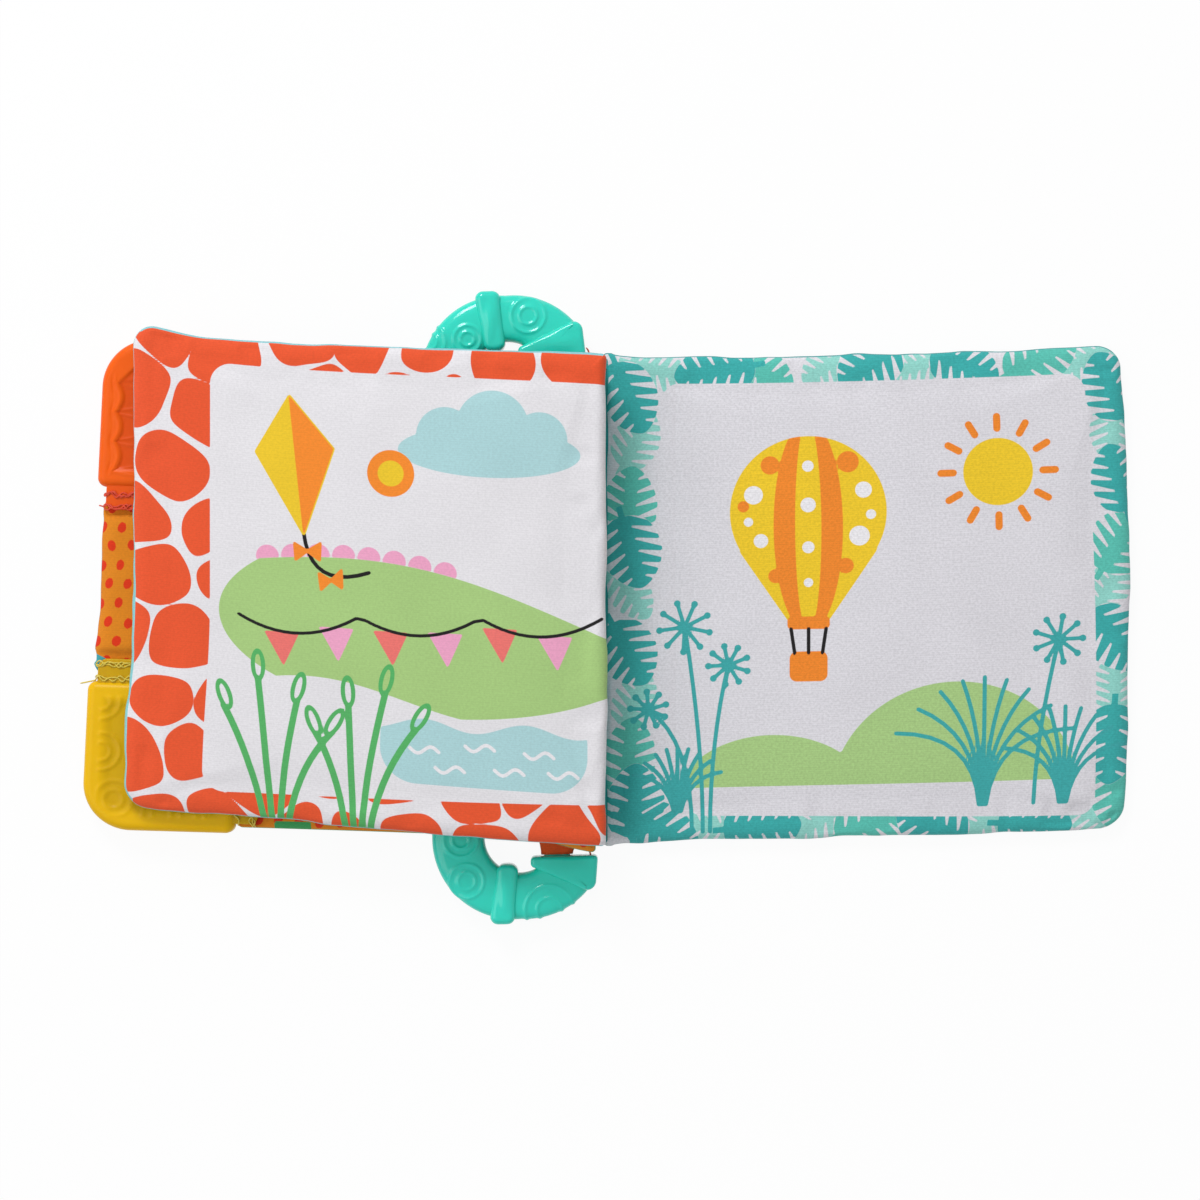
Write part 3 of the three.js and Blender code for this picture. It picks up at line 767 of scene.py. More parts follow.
def slit_leaf(x: Array, y: Array, middle: Sequence[float], angle: float, long: float,
              wide: float) -> tuple[Array, Array]:
    """A tropical leaf with slits and a stub of stem, and its plain outline.

    The outline is (|u/a|^p + |v/b|^p)^(1/p) = 1 with a pointed tip, p 1.6, and a blunt base, p 2.5.
    Slits part the lobes from a fifth of the way out, slanted towards the tip and wider at the edge.

    Args:
        x, y: Places on the flat cloth.
        middle: Middle of the leaf.
        angle: Direction of its tip.
        long, wide: Its half length and width.

    Returns:
        The distances to the leaf and to its outline.
    """
    c, s = math.cos(angle), math.sin(angle)
    u = (x - middle[0]) * c + (y - middle[1]) * s
    v = np.abs((y - middle[1]) * c - (x - middle[0]) * s)
    power = np.where(u > 0, 1.6, 2.5)
    size = (np.abs(u / long) ** power + (v / wide) ** power) ** (1 / power)
    outline = (size - 1) * wide
    pitch = long / 2.9  # from one slit to the next
    slant = 0.45
    phase = (u - slant * v) / pitch + 0.25
    depth = v - 0.22 * wide
    half_slit = 0.27 + 0.11 * np.maximum(depth, 0)
    slit = np.maximum(np.abs(phase - np.round(phase)) * pitch * 0.9 - half_slit, -depth)
    stem = np.maximum.reduce([v - 0.85, u + long * 0.8, -long - 3.0 - u])
    return either(without(outline, slit), stem), outline


class MeadowPage(Print):
    """White page with a border of animal patches round a picture of a kite over a meadow.

    x runs from the free edge, below 0, to the fold at 0.
    """

    name = "meadow_print"
    base = "#E2E0E4"

    def inks(self, x: Array, y: Array) -> list[tuple[str, Array]]:
        """Border, cloud, hill, flags, kite, water and reeds.

        Args:
            x, y: Places on the flat cloth.

        Returns:
            The inks in order, each with its field.
        """
        middle, half = 1.45 + 0.0162 * x, 57.35 - 0.0292 * x  # the picture is cut a little askew
        panel = box(x, (y - middle) / half * 59, (-108, -59), (30, 59), 6)
        border = without(patches(x, y, 18.5, 0.9, 1.2, 5), panel)
        cloud = either(
            oval(x, y, -31, 39, 25, 7), discs(x, y, ((-43, 43, 8), (-30, 46, 10), (-17, 43, 7.5))))
        hill = np.maximum.reduce([
            (y - self.skyline(x)) * 0.93, oval(x, y, -44, -9, 61.5, 26),
            -31 + 5 * np.sin(x / 17) - y])
        rows = ((cx, self.skyline(cx) + 0.5, 3.2) for cx in range(-92, -40, 7))
        blooms = without(discs(x, y, rows), hill)
        red_flags = polygons(x, y, map(self.flag, (-88, -58, -28)), 0.3)
        pink_flags = polygons(x, y, map(self.flag, (-73, -43, -13)), 0.3)
        line = stroke(x, y, [(cx, self.cord(cx) + 0.4) for cx in np.arange(-100, 1, 2.5)], 0.9)
        sail = polygon(x, y, [(-86, 52), (-74, 38), (-82, 14), (-95, 36)], 0.6)
        half_sail = polygon(x, y, [(-86, 52), (-74, 38), (-82, 14)], 0.2)
        string = stroke(x, y, curve((-82, 14), (-80, -2), (-64, 4)), 1.1)
        bows = polygons(x, y, (
            [(-81, 9), (-77.4, 11.4), (-77.6, 6.6)], [(-81, 9), (-84.6, 11), (-84.2, 6.4)],
            [(-74.5, 1.2), (-71.6, 4.2), (-71.4, -0.8)],
            [(-74.5, 1.2), (-77.8, 3), (-77.2, -1.6)]), 0.4)
        sun, eye = disc(x, y, -58, 32, 6.5), disc(x, y, -58, 32, 3.6)
        water, waves = self.pond(x, y)
        return [
            ("#E4562F", border), ("#ABD2D6", cloud), ("#EBA3C4", blooms), ("#A6C97F", hill),
            ("#E9756F", red_flags), ("#EBA3C4", pink_flags), ("#1E1C1D", either(line, string)),
            ("#EAC52E", sail), ("#F28A2E", either(half_sail, bows, sun)), ("#EAC52E", eye),
            ("#ABD2D6", water), ("#E8E6EA", waves), ("#56B065", self.reeds(x, y)),
        ]

    @staticmethod
    def skyline(x: float | Array) -> float | Array:
        """Height of the hill: a wave that falls towards the fold."""
        return 4 + 9 * np.sin((x + 108) / 33) - 0.12 * (x + 108)

    @staticmethod
    def cord(x: float) -> float:
        """Height of the flags' line: three shallow swags, each 1 - (x')^2 deep."""
        share = ((x + 100) / 33.3) % 1
        return -8 - 5 * (1 - (2 * share - 1) ** 2) + 0.05 * (x + 50)

    def flag(self, across: float) -> list[tuple[float, float]]:
        """Corners of one flag that hangs from the line."""
        top = self.cord(across)
        return [(across - 4.4, top), (across + 4.4, top), (across + 0.8, top - 8.6)]

    @staticmethod
    def pond(x: Array, y: Array) -> tuple[Array, Array]:
        """Water with a rippled top, and the waves on it.

        Args:
            x, y: Places on the flat cloth.

        Returns:
            The distances to both.
        """
        crest = -37 + 1.6 * np.sin(x / 4.4)
        water = np.maximum(box(x, y, (-60, -53.5), (-4, -30), 10), (y - crest) * 0.9)
        steps = np.arange(-4, 4.1, 0.8)
        middles = (
            (-48, -44), (-33, -42.5), (-17, -43.5), (-41, -49), (-25, -48.6), (-10.5, -48.5))
        lines = ([(cx + t, cy + math.sin(t * 0.9)) for t in steps] for cx, cy in middles)
        return water, strokes(x, y, lines, 0.95)

    @staticmethod
    def reeds(x: Array, y: Array) -> Array:
        """Two tufts of bent reeds, each with an open seed head.

        Args:
            x, y: Places on the flat cloth.

        Returns:
            The distances.
        """
        stems = strokes(x, y, (
            curve((base, -70), (base + lean * 0.2, -52), (base + lean, top), 9)
            for base, lean, top in (
                (-91, -12, -36), (-89, -5, -28), (-87, 4, -33), (-85, 12, -41),
                (-69, -9, -41), (-67, -2, -33), (-65, 6, -29), (-63, 13, -38))), 1.8)
        heads = [
            (-103, -33, 0.4), (-94.2, -24, 0.1), (-82.8, -29.5, -0.2), (-72.6, -38.4, -0.5),
            (-78.3, -38.4, 0.4), (-69.2, -29.5, 0.1), (-58.8, -25.5, -0.2), (-49.2, -35.2, -0.5)]
        husks = ovals(x, y, ((cx, cy, 2.0, 4.6, turn) for cx, cy, turn in heads))
        seeds = ovals(x, y, ((cx, cy, 0.8, 3.1, turn) for cx, cy, turn in heads))
        return without(either(stems, husks), seeds)


class BalloonPage(Print):
    """White page with a border of slit leaves round a picture of a balloon over two hills.

    x runs from the spine to the free edge.
    """

    name = "balloon_print"
    base = "#DEDCE2"

    def inks(self, x: Array, y: Array) -> list[tuple[str, Array]]:
        """Border, hills, balloon, sun and grass.

        Args:
            x, y: Places on the flat cloth.

        Returns:
            The inks in order, each with its field.
        """
        light, middle, dark, halo = self.border(x, y)
        foot, head = -60.8 - 0.025 * x, 60.8  # the picture is cut a little askew
        left, right = 19.0 - 0.055 * y, 133.7 - 0.02 * y
        level = (2 * y - head - foot) / (head - foot)
        panel = box((x - left) / (right - left) * 120, level * 60, (0, -60), (120, 60), 5)
        hill = ovals(x, y, ((96, -58, 34, 33), (46, -58, 27, 19)))
        hill = np.maximum.reduce([hill, -53.5 - y, box(x, y, (18, -54), (131, 40), 1)])
        bag, orange, spots, ropes = self.balloon(x, y)
        sun = disc(x, y, 108, 34, 9.5)
        ways = [(math.cos(a), math.sin(a)) for a in np.arange(12) * math.pi / 6]
        rays = strokes(x, y, (
            [(108 + 12.2 * c, 34 + 12.2 * s), (108 + 15.6 * c, 34 + 15.6 * s)] for c, s in ways),
            2.0)
        grass = either(self.dandelions(x, y), self.blades(x, y))
        return [
            ("#93D5CB", light), (self.base, halo[0]), ("#5CC2B3", middle), (self.base, halo[1]),
            ("#3CACAA", dark), (self.base, panel), ("#AACD86", hill),
            ("#F1CB2E", either(bag, sun)), ("#F28A2E", either(orange, rays)), ("#EDEBEF", spots),
            ("#1E1C1D", ropes), ("#3FA9A9", grass),
        ]

    def cloth(self, inks: tuple[tuple[str, str], ...]) -> Cloth:
        """Its crepe shows more than the other pages'."""
        return replace(super().cloth(inks), crepe=1.7)

    @staticmethod
    def balloon(x: Array, y: Array) -> tuple[Array, Array, Array, Array]:
        """A striped and spotted balloon with its basket.

        Args:
            x, y: Places on the flat cloth.

        Returns:
            The distances to its bag, its orange parts, its white spots and its ropes.
        """
        skirt = polygon(x, y, [(37.6, 13), (51, -7), (61, -7), (74.4, 13)], 0.4)
        bag = either(disc(x, y, 56, 24, 21.5), skirt)
        stripe = without(oval(x, y, 56, 20, 9.5, 30), oval(x, y, 56, 20, 3.6, 30))
        brim = box(x, y, (50.2, -9.2), (61.8, -5.6), 1.2)
        basket = box(x, y, (50.8, -24), (61.2, -15.5), 2)
        rim_spots = discs(x, y, (
            (45.6, 37.4, 2.6), (67, 38, 3.0), (38.2, 25.8, 1.6), (47, 6, 2.0), (66.2, 8.6, 2.2)))
        orange = either(
            np.maximum(stripe, bag), brim, basket, np.maximum(rim_spots, bag + 0.3))
        spots = discs(x, y, (
            (41, 29, 2.6), (43, 16, 2.0), (39.6, 21.4, 1.3), (71.2, 30, 2.3), (70, 17, 2.8),
            (73.2, 23, 1.4), (56, 37, 1.6), (56, 26, 2.1), (56, 14, 1.7), (56, 4, 1.3)))
        ropes = strokes(x, y, (
            [(51.2, -9), (52.2, -16)], [(60.8, -9), (59.8, -16)], [(56, -9), (56, -16)]), 1.0)
        return bag, orange, spots, np.maximum(ropes, -bag - 2)

    @staticmethod
    def border(x: Array, y: Array) -> tuple[Array, Array, Array, tuple[Array, Array]]:
        """Three layers of scattered leaves round the edge.

        Args:
            x, y: Places on the flat cloth.

        Returns:
            The distances to each layer from below, and to the plain outlines of the upper two.
        """
        rng = np.random.default_rng(23)
        leaves, outlines = ([], [], []), ([], [], [])
        corners = np.array([
            [7.5, -64.5], [140.0, -65.0], [139.5, 65.0], [7.5, 64.5], [7.5, -64.5]])
        pitch = 14.2  # from leaf to leaf
        layers = (2, 0, 2, 0, 1)  # in turn
        turn = 0
        for side, (start, end) in enumerate(zip(corners[:-1], corners[1:])):
            count = round(np.linalg.norm(end - start) / pitch)
            for step in range(count):
                along = (end - start) * (step + rng.uniform(0.35, 0.65)) / count
                spot = start + along + rng.uniform(-1.5, 1.5, 2)
                layer = layers[turn % len(layers)]
                lean = rng.uniform(-0.7, 0.7)
                angle = side * math.pi / 2 + lean + math.pi * rng.integers(0, 2)
                share = 1.0 if layer else 0.78
                leaf, outline = slit_leaf(
                    x, y, spot, angle, share * rng.uniform(9.8, 11.4), share * rng.uniform(7.4, 8.6))
                leaves[layer].append(leaf)
                outlines[layer].append(outline)
                turn += 1
        light, middle, dark = (either(*layer) for layer in leaves)
        return light, middle, dark, (either(*outlines[1]), either(*outlines[2]))

    @staticmethod
    def dandelions(x: Array, y: Array) -> Array:
        """Tall stems with a wheel of short rays on each.

        Args:
            x, y: Places on the flat cloth.

        Returns:
            The distances.
        """
        shapes = []
        for root, foot, top, size in (
                (27, -66, (22, -8), 7.0), (29, -66, (34, -19), 5.5),
                (24, -66, (12, -31), 5.0), (118, -60, (124, -14), 6.5)):
            shapes.append(stroke(x, y, curve((root, foot), (root, -40), top, 8), 1.15))
            for a in np.arange(9) * 2 * math.pi / 9 + root:
                tip = (top[0] + size * math.cos(a), top[1] + size * math.sin(a))
                shapes.append(stroke(x, y, [top, tip], 1.1))
                shapes.append(disc(x, y, *tip, 0.95))
        return either(*shapes)

    @staticmethod
    def blades(x: Array, y: Array) -> Array:
        """Tufts of grass, each a fan of long bent lines.

        Args:
            x, y: Places on the flat cloth.

        Returns:
            The distances.
        """
        lines = []
        for root, fan, tall in ((104, 24, 34), (126, 17, 25), (20, 12, 16)):
            for share in np.linspace(-1, 1, 9):
                top = (root + fan * share, -58 + tall * (1 - 0.45 * share * share))
                bend = (root + 3 * share, -60 + tall * 0.6)
                lines.append(curve((root + share, -60), bend, top, 8))
        return strokes(x, y, lines, 1.15)


class SprigPrint(Print):
    """Light sprigs scattered on a darker cloth."""

    name = "sprig_print"
    base = "#2F9E9C"

    def inks(self, x: Array, y: Array) -> list[tuple[str, Array]]:
        """Slit leaves of many sizes and turns on a loose lattice.

        Args:
            x, y: Places on the flat cloth.

        Returns:
            The ink with its field.
        """
        rng = np.random.default_rng(41)
        sprigs = []
        for cx in np.arange(10, 150, 27):
            for cy in np.arange(-62, 70, 24):
                spot = np.array([cx, cy]) + rng.uniform(-4, 4, 2)
                turn, long, wide = rng.uniform(0, 6.28), rng.uniform(9, 11), rng.uniform(6, 7.5)
                sprigs.append(slit_leaf(x, y, spot, turn, long, wide)[0])
        return [("#93D5CB", either(*sprigs))]


AMBER_DOTS = Dots("amber_dot_print", "#DA821A", "#D93412", (5.5, 10.9), (1.2, 1.6))
AQUA_DOTS = Dots("aqua_dot_print", "#A9D8D8", "#EEF3F3", (12.0, 14.0), (1.7, 1.8))
CYAN_HILLS = Hills("cyan_hill_print", "#45A5AE", "#3C9B58", -38.0)


# Padded pages


class Facing(Enum):
    """The side of a page that looks up at rest."""

    BACK_COVER = "back_cover"
    LEFT = "left"


@dataclass(frozen=True)
class PageSizes:
    """A page drawn flat from the spine's seam, as in the frame."""

    start: float  # of the cloth, out from the seam
    reach: float  # of the free edge
    spine_height: float
    free_height: float
    lean: float  # how much higher the free edge lies
    facing: Facing
    lift: float = 0.0  # mid-plane over the seam's, on the turned side
    bow: float = 0.0  # how far the free edge swells out in its middle
    slant: float = 0.0  # how far the free edge's top leans back and its foot stands out
    rise: float = 0.0  # how much further the page curves up towards its free edge
    draw: float = 1.1  # how far the long sides pull in
    power: float = 1.0  # below 1 they pull in most near the spine
    kick: float = 0.0  # how far the free edge swings out towards its lower end

    def place(self, x: Array, y: Array, over: Array) -> Array:
        """Points in the frame from places on the flat page, as it leans, slants, bows and draws in.

        Args:
            x, y: Places out from the seam and up the page.
            over: Heights over its mid-plane.

        Returns:
            The points, with x, y and z along the last axis.
        """
        half = self.spine_height / 2
        out = (x - self.start) / (self.reach - self.start)
        up = y / half
        height = half + (self.free_height / 2 - half) * out
        drawn = self.draw * np.sin(math.pi * np.clip(out, 0, 1) ** self.power)
        across = x - self.slant * up * out + self.bow * out * out * (1 - up * up)
        across = across + self.kick * out * smooth(-up, 0.12, 0.88)
        along = up * (height - drawn) + self.lean * out + self.rise * out**3 + PAGES_UP
        if self.facing is Facing.BACK_COVER:
            return np.stack([across, along, over + PAD_HALF - PAD_CROWN], axis=-1)
        risen = over + self.lift
        c, s = math.cos(COVER_TILT), math.sin(COVER_TILT)
        return np.stack(
            [-across * c - risen * s, along, HINGE_HEIGHT - across * s + risen * c], axis=-1)


BACK = PageSizes(2.0, 143.2, 136.8, 134.2, 2.2, Facing.BACK_COVER, bow=2.3, slant=0.4, rise=1.5,
                 draw=1.2, power=0.45)
COVER = PageSizes(2.6, 140.6, 135.5, 132.6, 4.5, Facing.LEFT, slant=3.2, draw=1.5, power=0.5)
LEAF = PageSizes(1.5, 129.8, 134.4, 132.4, 6.6, Facing.LEFT, lift=6.7, rise=2.3, power=2.0,
                 kick=2.7)


def roll(inset: Array) -> Array:
    """Share of a page's full height: a quarter round that is level EDGE_ROLL in from the seam."""
    rolled = np.clip(inset / EDGE_ROLL, 0, 1)
    return np.sqrt(np.maximum(1 - (1 - rolled) ** 2, 0))


def cells(at: Array) -> Array:
    """Corners of each cell of a grid of point numbers, as (row, column, corner)."""
    return np.stack([at[:-1, :-1], at[1:, :-1], at[1:, 1:], at[:-1, 1:]], axis=-1)


def under(sheet: Array, first: int) -> Array:
    """Number the points of a lower sheet, whose rim is the upper one's.

    Args:
        sheet: Numbers of the upper sheet's points, as (row, column).
        first: Number of its own first point.

    Returns:
        The numbers.
    """
    lower = sheet.copy()
    inner = lower[1:-1, 1:-1]
    inner[:] = first + np.arange(inner.size).reshape(inner.shape)
    return lower


def swollen(points: Array, faces: Array) -> Array:
    """Blow up a closed cloth pad under pressure, at ten times its size, which keeps it steady.

    Args:
        points: Its points, in mm.
        faces: Its quads.

    Returns:
        How far each point rose, in mm.
    """
    larger, frames = 10, 18
    pad = new_mesh("swelling_pad", points * larger, [outward(points, faces)])
    cloth = pad.modifiers.new("Cloth", "CLOTH")
    cloth.settings.quality = 5
    cloth.settings.use_pressure = True
    cloth.settings.uniform_pressure_force = 4
    cloth.settings.effector_weights.gravity = 0
    cloth.settings.bending_stiffness = 0.3
    cloth.point_cache.frame_start, cloth.point_cache.frame_end = 1, frames
    for step in range(1, frames + 1):
        bpy.context.scene.frame_set(step)
    blown = pad.evaluated_get(bpy.context.evaluated_depsgraph_get())
    moved = np.empty(len(points) * 3, np.float32)
    blown.to_mesh().vertices.foreach_get("co", moved)
    blown.to_mesh_clear()
    bpy.data.objects.remove(pad)
    bpy.context.scene.frame_set(1)
    return (moved.reshape(-1, 3) / MM / larger - points)[:, 2]


def write_fields(made: Object, x: Array, y: Array,
                 fields: dict[str, Array] | None = None) -> None:
    """Keep the place on the flat cloth and the print's fields as attributes of the points.

    Args:
        made: The piece.
        x, y: Places of its points on the flat cloth.
        fields: Distances to the print's shapes at its points, under their names.
    """
    kept = made.data.attributes
    place = kept.new("cloth_mm", "FLOAT_VECTOR", "POINT")
    place.data.foreach_set("vector", np.stack([x, y, 0 * x], axis=1).astype(np.float32).ravel())
    for name, values in (fields or {}).items():
        kept.new(name, "FLOAT", "POINT").data.foreach_set("value", values.astype(np.float32))


def printed(made: Object, x: Array, y: Array, prints: Sequence[tuple[Print, float]],
            seams: Sequence[tuple[str, Array]] = ()) -> None:
    """Give a cloth piece its prints, one material for each.

    Args:
        made: The piece.
        x, y: Places of its points on the flat cloth.
        prints: Each side's print, with the sign that turns x over for it.
        seams: Colours of the lower cloth and their fields, where it rolls into view at the seam.
    """
    fields = {}
    for index, (design, sign) in enumerate(prints):
        inks = design.inks(sign * x, y) + ([] if index else list(seams))
        names = [f"{design.name}_{step}" for step in range(len(inks))]
        fields.update({name: field for name, (_, field) in zip(names, inks)})
        pairs = tuple((colour, name) for name, (colour, _) in zip(names, inks))
        made.data.materials.append(design.cloth(pairs).material())
    write_fields(made, x, y, fields)


@dataclass(frozen=True)
class SeamShows:
    """How wide the lower cloth rolls over each edge of a page into view, and its colour there."""

    colour: str
    free_low: float = 0.0  # lower half of the free edge
    free_high: float = 0.0
    top: float = 0.0
    bottom: float = 0.0
    spine: float = -9.0  # below 0 it stays out of view

    def width(self, x: Array, y: Array, low: float, high: float, half: float) -> Array:
        """Width at each place: that of the nearest edge.

        Args:
            x, y: Places out from the seam and up the page.
            low: The page's edge at the spine.
            high: Its free edge.
            half: Its half height.

        Returns:
            The widths.
        """
        free = self.free_low + (self.free_high - self.free_low) * smooth(y, -5, 30)
        widths = np.stack([free, self.top + 0 * x, self.bottom + 0 * x, self.spine + 0 * x])
        nearest = np.stack([high - x, half - y, half + y, x - low]).argmin(axis=0)
        return np.take_along_axis(widths, nearest[None], axis=0)[0]


@dataclass(frozen=True)
class Ruffle:
    """How far the cloth of a page ruckles, in mm but for the shares."""

    crease_share: float = 0.3  # of the simulated creases, which a pad without wadding makes deeper
    crease_deep: float = 0.3
    crease_high: float = 0.15
    tuck: float = 0.7  # tucks that run in from the seam
    tuck_below: float = 0.4
    tuck_reach: float = 16.0
    wave: float = 0.16  # broad swells of the whole face
    ripple: float = 0.07
    gather: float = 0.7  # short folds at the free corners
    fold_wide: float = 0.6
    seam_swing: float = 0.35  # how far the seam strays from its line, in long and in short waves
    seam_wobble: float = 0.2


RUFFLE = Ruffle()


@dataclass
class SquarePage:
    """A padded page with plain corners: two sheets of one grid, sewn along their edge."""

    name: str
    body: str
    sizes: PageSizes
    prints: tuple[Print, Print]
    replaced: tuple[str, ...]
    material_slot: str
    spine_edge: float  # where the cloth folds down into the gutter
    crowns: tuple[float, float]
    seed: int
    seam_shows: SeamShows
    ear: float = 0.0  # how far its upper free corner sticks up
    upright_folds: tuple[tuple[float, float], ...] = ()  # faint creases: (place, depth)
    level_folds: tuple[tuple[float, float], ...] = ()
    crumple: float = 0.0  # how much deeper the gathers at its lower free corner are, in mm
    count: int = 281

    def __post_init__(self) -> None:
        """Work out its middle and its half sizes from its edges."""
        self.low, self.high = self.spine_edge, self.sizes.reach
        self.middle = (self.low + self.high) / 2
        self.half_x, self.half_y = (self.high - self.low) / 2, self.sizes.spine_height / 2

    def grid(self, count: int) -> tuple[Array, Array, Array]:
        """Flat places, finer towards the edges, and their distance in from the seam.

        In each corner's square the grid (i, j) goes to (i sqrt(1 - j^2/2), j sqrt(1 - i^2/2)),
        which bends its outer sides into a quarter circle.

        Args:
            count: Count of places each way.

        Returns:
            Places out from the spine's seam, places up the page and distances in from its edge.
        """
        t = np.linspace(-1, 1, count)
        share = 0.7 * t + 0.3 * np.sin(t * math.pi / 2)
        p, q = np.meshgrid(share * self.half_x, share * self.half_y, indexing="ij")
        r = np.where(p > 0, PAGE_CORNER, SPINE_CORNER)
        i = np.maximum(np.abs(p) - self.half_x + r, 0) / r
        j = np.maximum(np.abs(q) - self.half_y + r, 0) / r
        x = np.minimum(np.abs(p), self.half_x - r) + r * i * np.sqrt(1 - j * j / 2)
        y = np.minimum(np.abs(q), self.half_y - r) + r * j * np.sqrt(1 - i * i / 2)
        x, y = np.sign(p) * x, np.sign(q) * y
        inset = -box(x, y, (-self.half_x, -self.half_y), (self.half_x, self.half_y), r)
        return x + self.middle, y, np.maximum(inset, 0)

    def heights(self, x: Array, y: Array, inset: Array) -> tuple[Array, Array]:
        """Both faces over the mid-plane: an edge that rolls, tighter at the fold, and a low crown.

        Args:
            x, y: Places on the flat page.
            inset: Distances in from its edge.

        Returns:
            Heights of the upper and of the lower face.
        """
        p = (x - self.middle) / self.half_x
        crown = (1 - p * p) * (1 - (y / self.half_y) ** 2)
        at_fold = np.minimum(self.half_y - np.abs(y), self.high - x) > x - self.low
        level = (PAD_HALF - PAD_CROWN) * roll(inset * np.where(at_fold, FOLD_TIGHTER, 1.0))
        return level + self.crowns[0] * crown, -level - self.crowns[1] * crown

    def fine_faces(self) -> list[Array]:
        """Faces of the upper sheet, and of a lower one of twice its cell.

        The lower sheet's outer cells take in the upper one's points on the seam, so they have five
        or six corners.

        Returns:
            The upper sheet's quads, then the lower one's faces of four, five and six corners.
        """
        count = self.count
        upper = np.arange(count * count).reshape(count, count)
        lower = under(upper[::2, ::2], count * count)
        last = len(lower) - 1
        inner = cells(lower)[1:-1, 1:-1, [0, 3, 2, 1]]
        groups = {4: [inner.reshape(-1, 4)], 5: [], 6: []}
        for i in range(last):
            for j in range(last):
                if 0 < i < last - 1 and 0 < j < last - 1:
                    continue
                walk = [(i, j), (i, j + 1), (i + 1, j + 1), (i + 1, j)]
                cell = []
                for (a, b), (c, d) in zip(walk, walk[1:] + walk[:1]):
                    cell.append(lower[a, b])
                    if (a == c and a in (0, last)) or (b == d and b in (0, last)):
                        cell.append(upper[a + c, b + d])
                groups[len(cell)].append(np.array([cell]))
        return [cells(upper).reshape(-1, 4), *(np.concatenate(group) for group in groups.values())]

    def puckers(self, x: Array, y: Array) -> list[Array]:
        """Creases of both sheets from a cloth simulation of a coarse pad under pressure.

        The swell itself is taken out, as the mean over about 9 mm, so that only the creases stay.

        Args:
            x, y: Places on the flat page.

        Returns:
            Heights of the upper and of the lower sheet's creases.
        """
        count = 60
        cx, cy, inset = self.grid(count)
        upper, lower = self.heights(cx, cy, inset)
        flat = np.stack([cx, cy, upper], axis=-1).reshape(-1, 3)
        inner = np.stack([cx, cy, lower], axis=-1)[1:-1, 1:-1].reshape(-1, 3)
        points = np.concatenate([flat, inner])
        rng = np.random.default_rng(self.seed)
        points[:, 2] += rng.uniform(-0.05, 0.05, len(points))
        top = np.arange(count * count).reshape(count, count)
        base = under(top, count * count)
        quads = [cells(top).reshape(-1, 4), cells(base).reshape(-1, 4)[:, ::-1]]
        rise = swollen(points, np.concatenate(quads))
        rows = (cx[:, count // 2], x[:, x.shape[1] // 2])
        columns = (cy[count // 2], y[y.shape[0] // 2])
        result = []
        for sheet in (rise[top], rise[base]):
            swell = spread(sheet, (rows[0], rows[0]), (columns[0], columns[0]), 9.0)
            crease = np.clip(sheet - swell, -1.5, 1.5)
            result.append(spread(crease, rows, columns, 1.6))
            log.info("%s creases up to %.2f mm", self.name, np.abs(result[-1]).max())
        return result

    def ruckled(self, x: Array, y: Array, inset: Array) -> tuple[Array, Array]:
        """Both faces with their creases, tucks, waves, gathers and folds.

        Args:
            x, y: Places on the flat page.
            inset: Distances in from its edge.

        Returns:
            Heights of the upper and of the lower face over the mid-plane.
        """
        r = RUFFLE
        upper, lower = self.heights(x, y, inset)
        top_crease, base_crease = self.puckers(x, y)
        free, off_seam = smooth(inset, 0.5, 6), smooth(inset, 0.2, 2.5)
        near = 1 - smooth(inset, 2.0, r.tuck_reach)
        tucks = np.maximum(noise(x, y, 6.5, self.seed), 0) * near * off_seam
        waves = noise(x, y, 24, self.seed + 1) * r.wave + noise(x, y, 11, self.seed + 2) * r.ripple
        at_corner = smooth(x, self.high - 30, self.high) * smooth(
            np.abs(y), self.half_y - 26, self.half_y) * (1 - smooth(inset, 5, 14))
        depth = r.gather + self.crumple * smooth(-y, 0, 30)
        gathers = np.maximum(noise(x, y, 3.6, self.seed + 6), 0) * at_corner * depth
        folds = 0 * x
        for value, places in ((x, self.upright_folds), (y, self.level_folds)):
            for place, deep in places:
                folds = folds + deep * ridge(value, place, r.fold_wide) * free
        # The back cover's lower face lies flat on the table, so no crease of it stands out.
        deepest = 0.0 if self.sizes.facing is Facing.BACK_COVER else -r.crease_high
        top_crease = np.clip(r.crease_share * top_crease, -r.crease_deep, r.crease_high)
        base_crease = np.clip(r.crease_share * base_crease, deepest, r.crease_deep)
        upper = upper + (top_crease + waves) * free - r.tuck * tucks - folds - gathers * off_seam
        return upper, lower + base_crease * free + r.tuck_below * tucks

    def sewn(self, x: Array, y: Array, inset: Array) -> tuple[Array, Array]:
        """Move the edge in and out along its uneven seam, and the upper free corner up.

        Args:
            x, y: Places on the flat page.
            inset: Distances in from its edge.

        Returns:
            The moved places.
        """
        swing = RUFFLE.seam_swing * noise(x, y, 14, self.seed + 3)
        wobble = RUFFLE.seam_wobble * noise(x, y, 5, self.seed + 4)
        edge = (1 - smooth(inset, 0, 3)) * (swing + wobble)
        at_ear = smooth(x, self.high - 22, self.high) * smooth(y, self.half_y - 25, self.half_y)
        return (x + edge * ((x - self.middle) / self.half_x) ** 7,
                y + edge * (y / self.half_y) ** 7 + self.ear * at_ear)

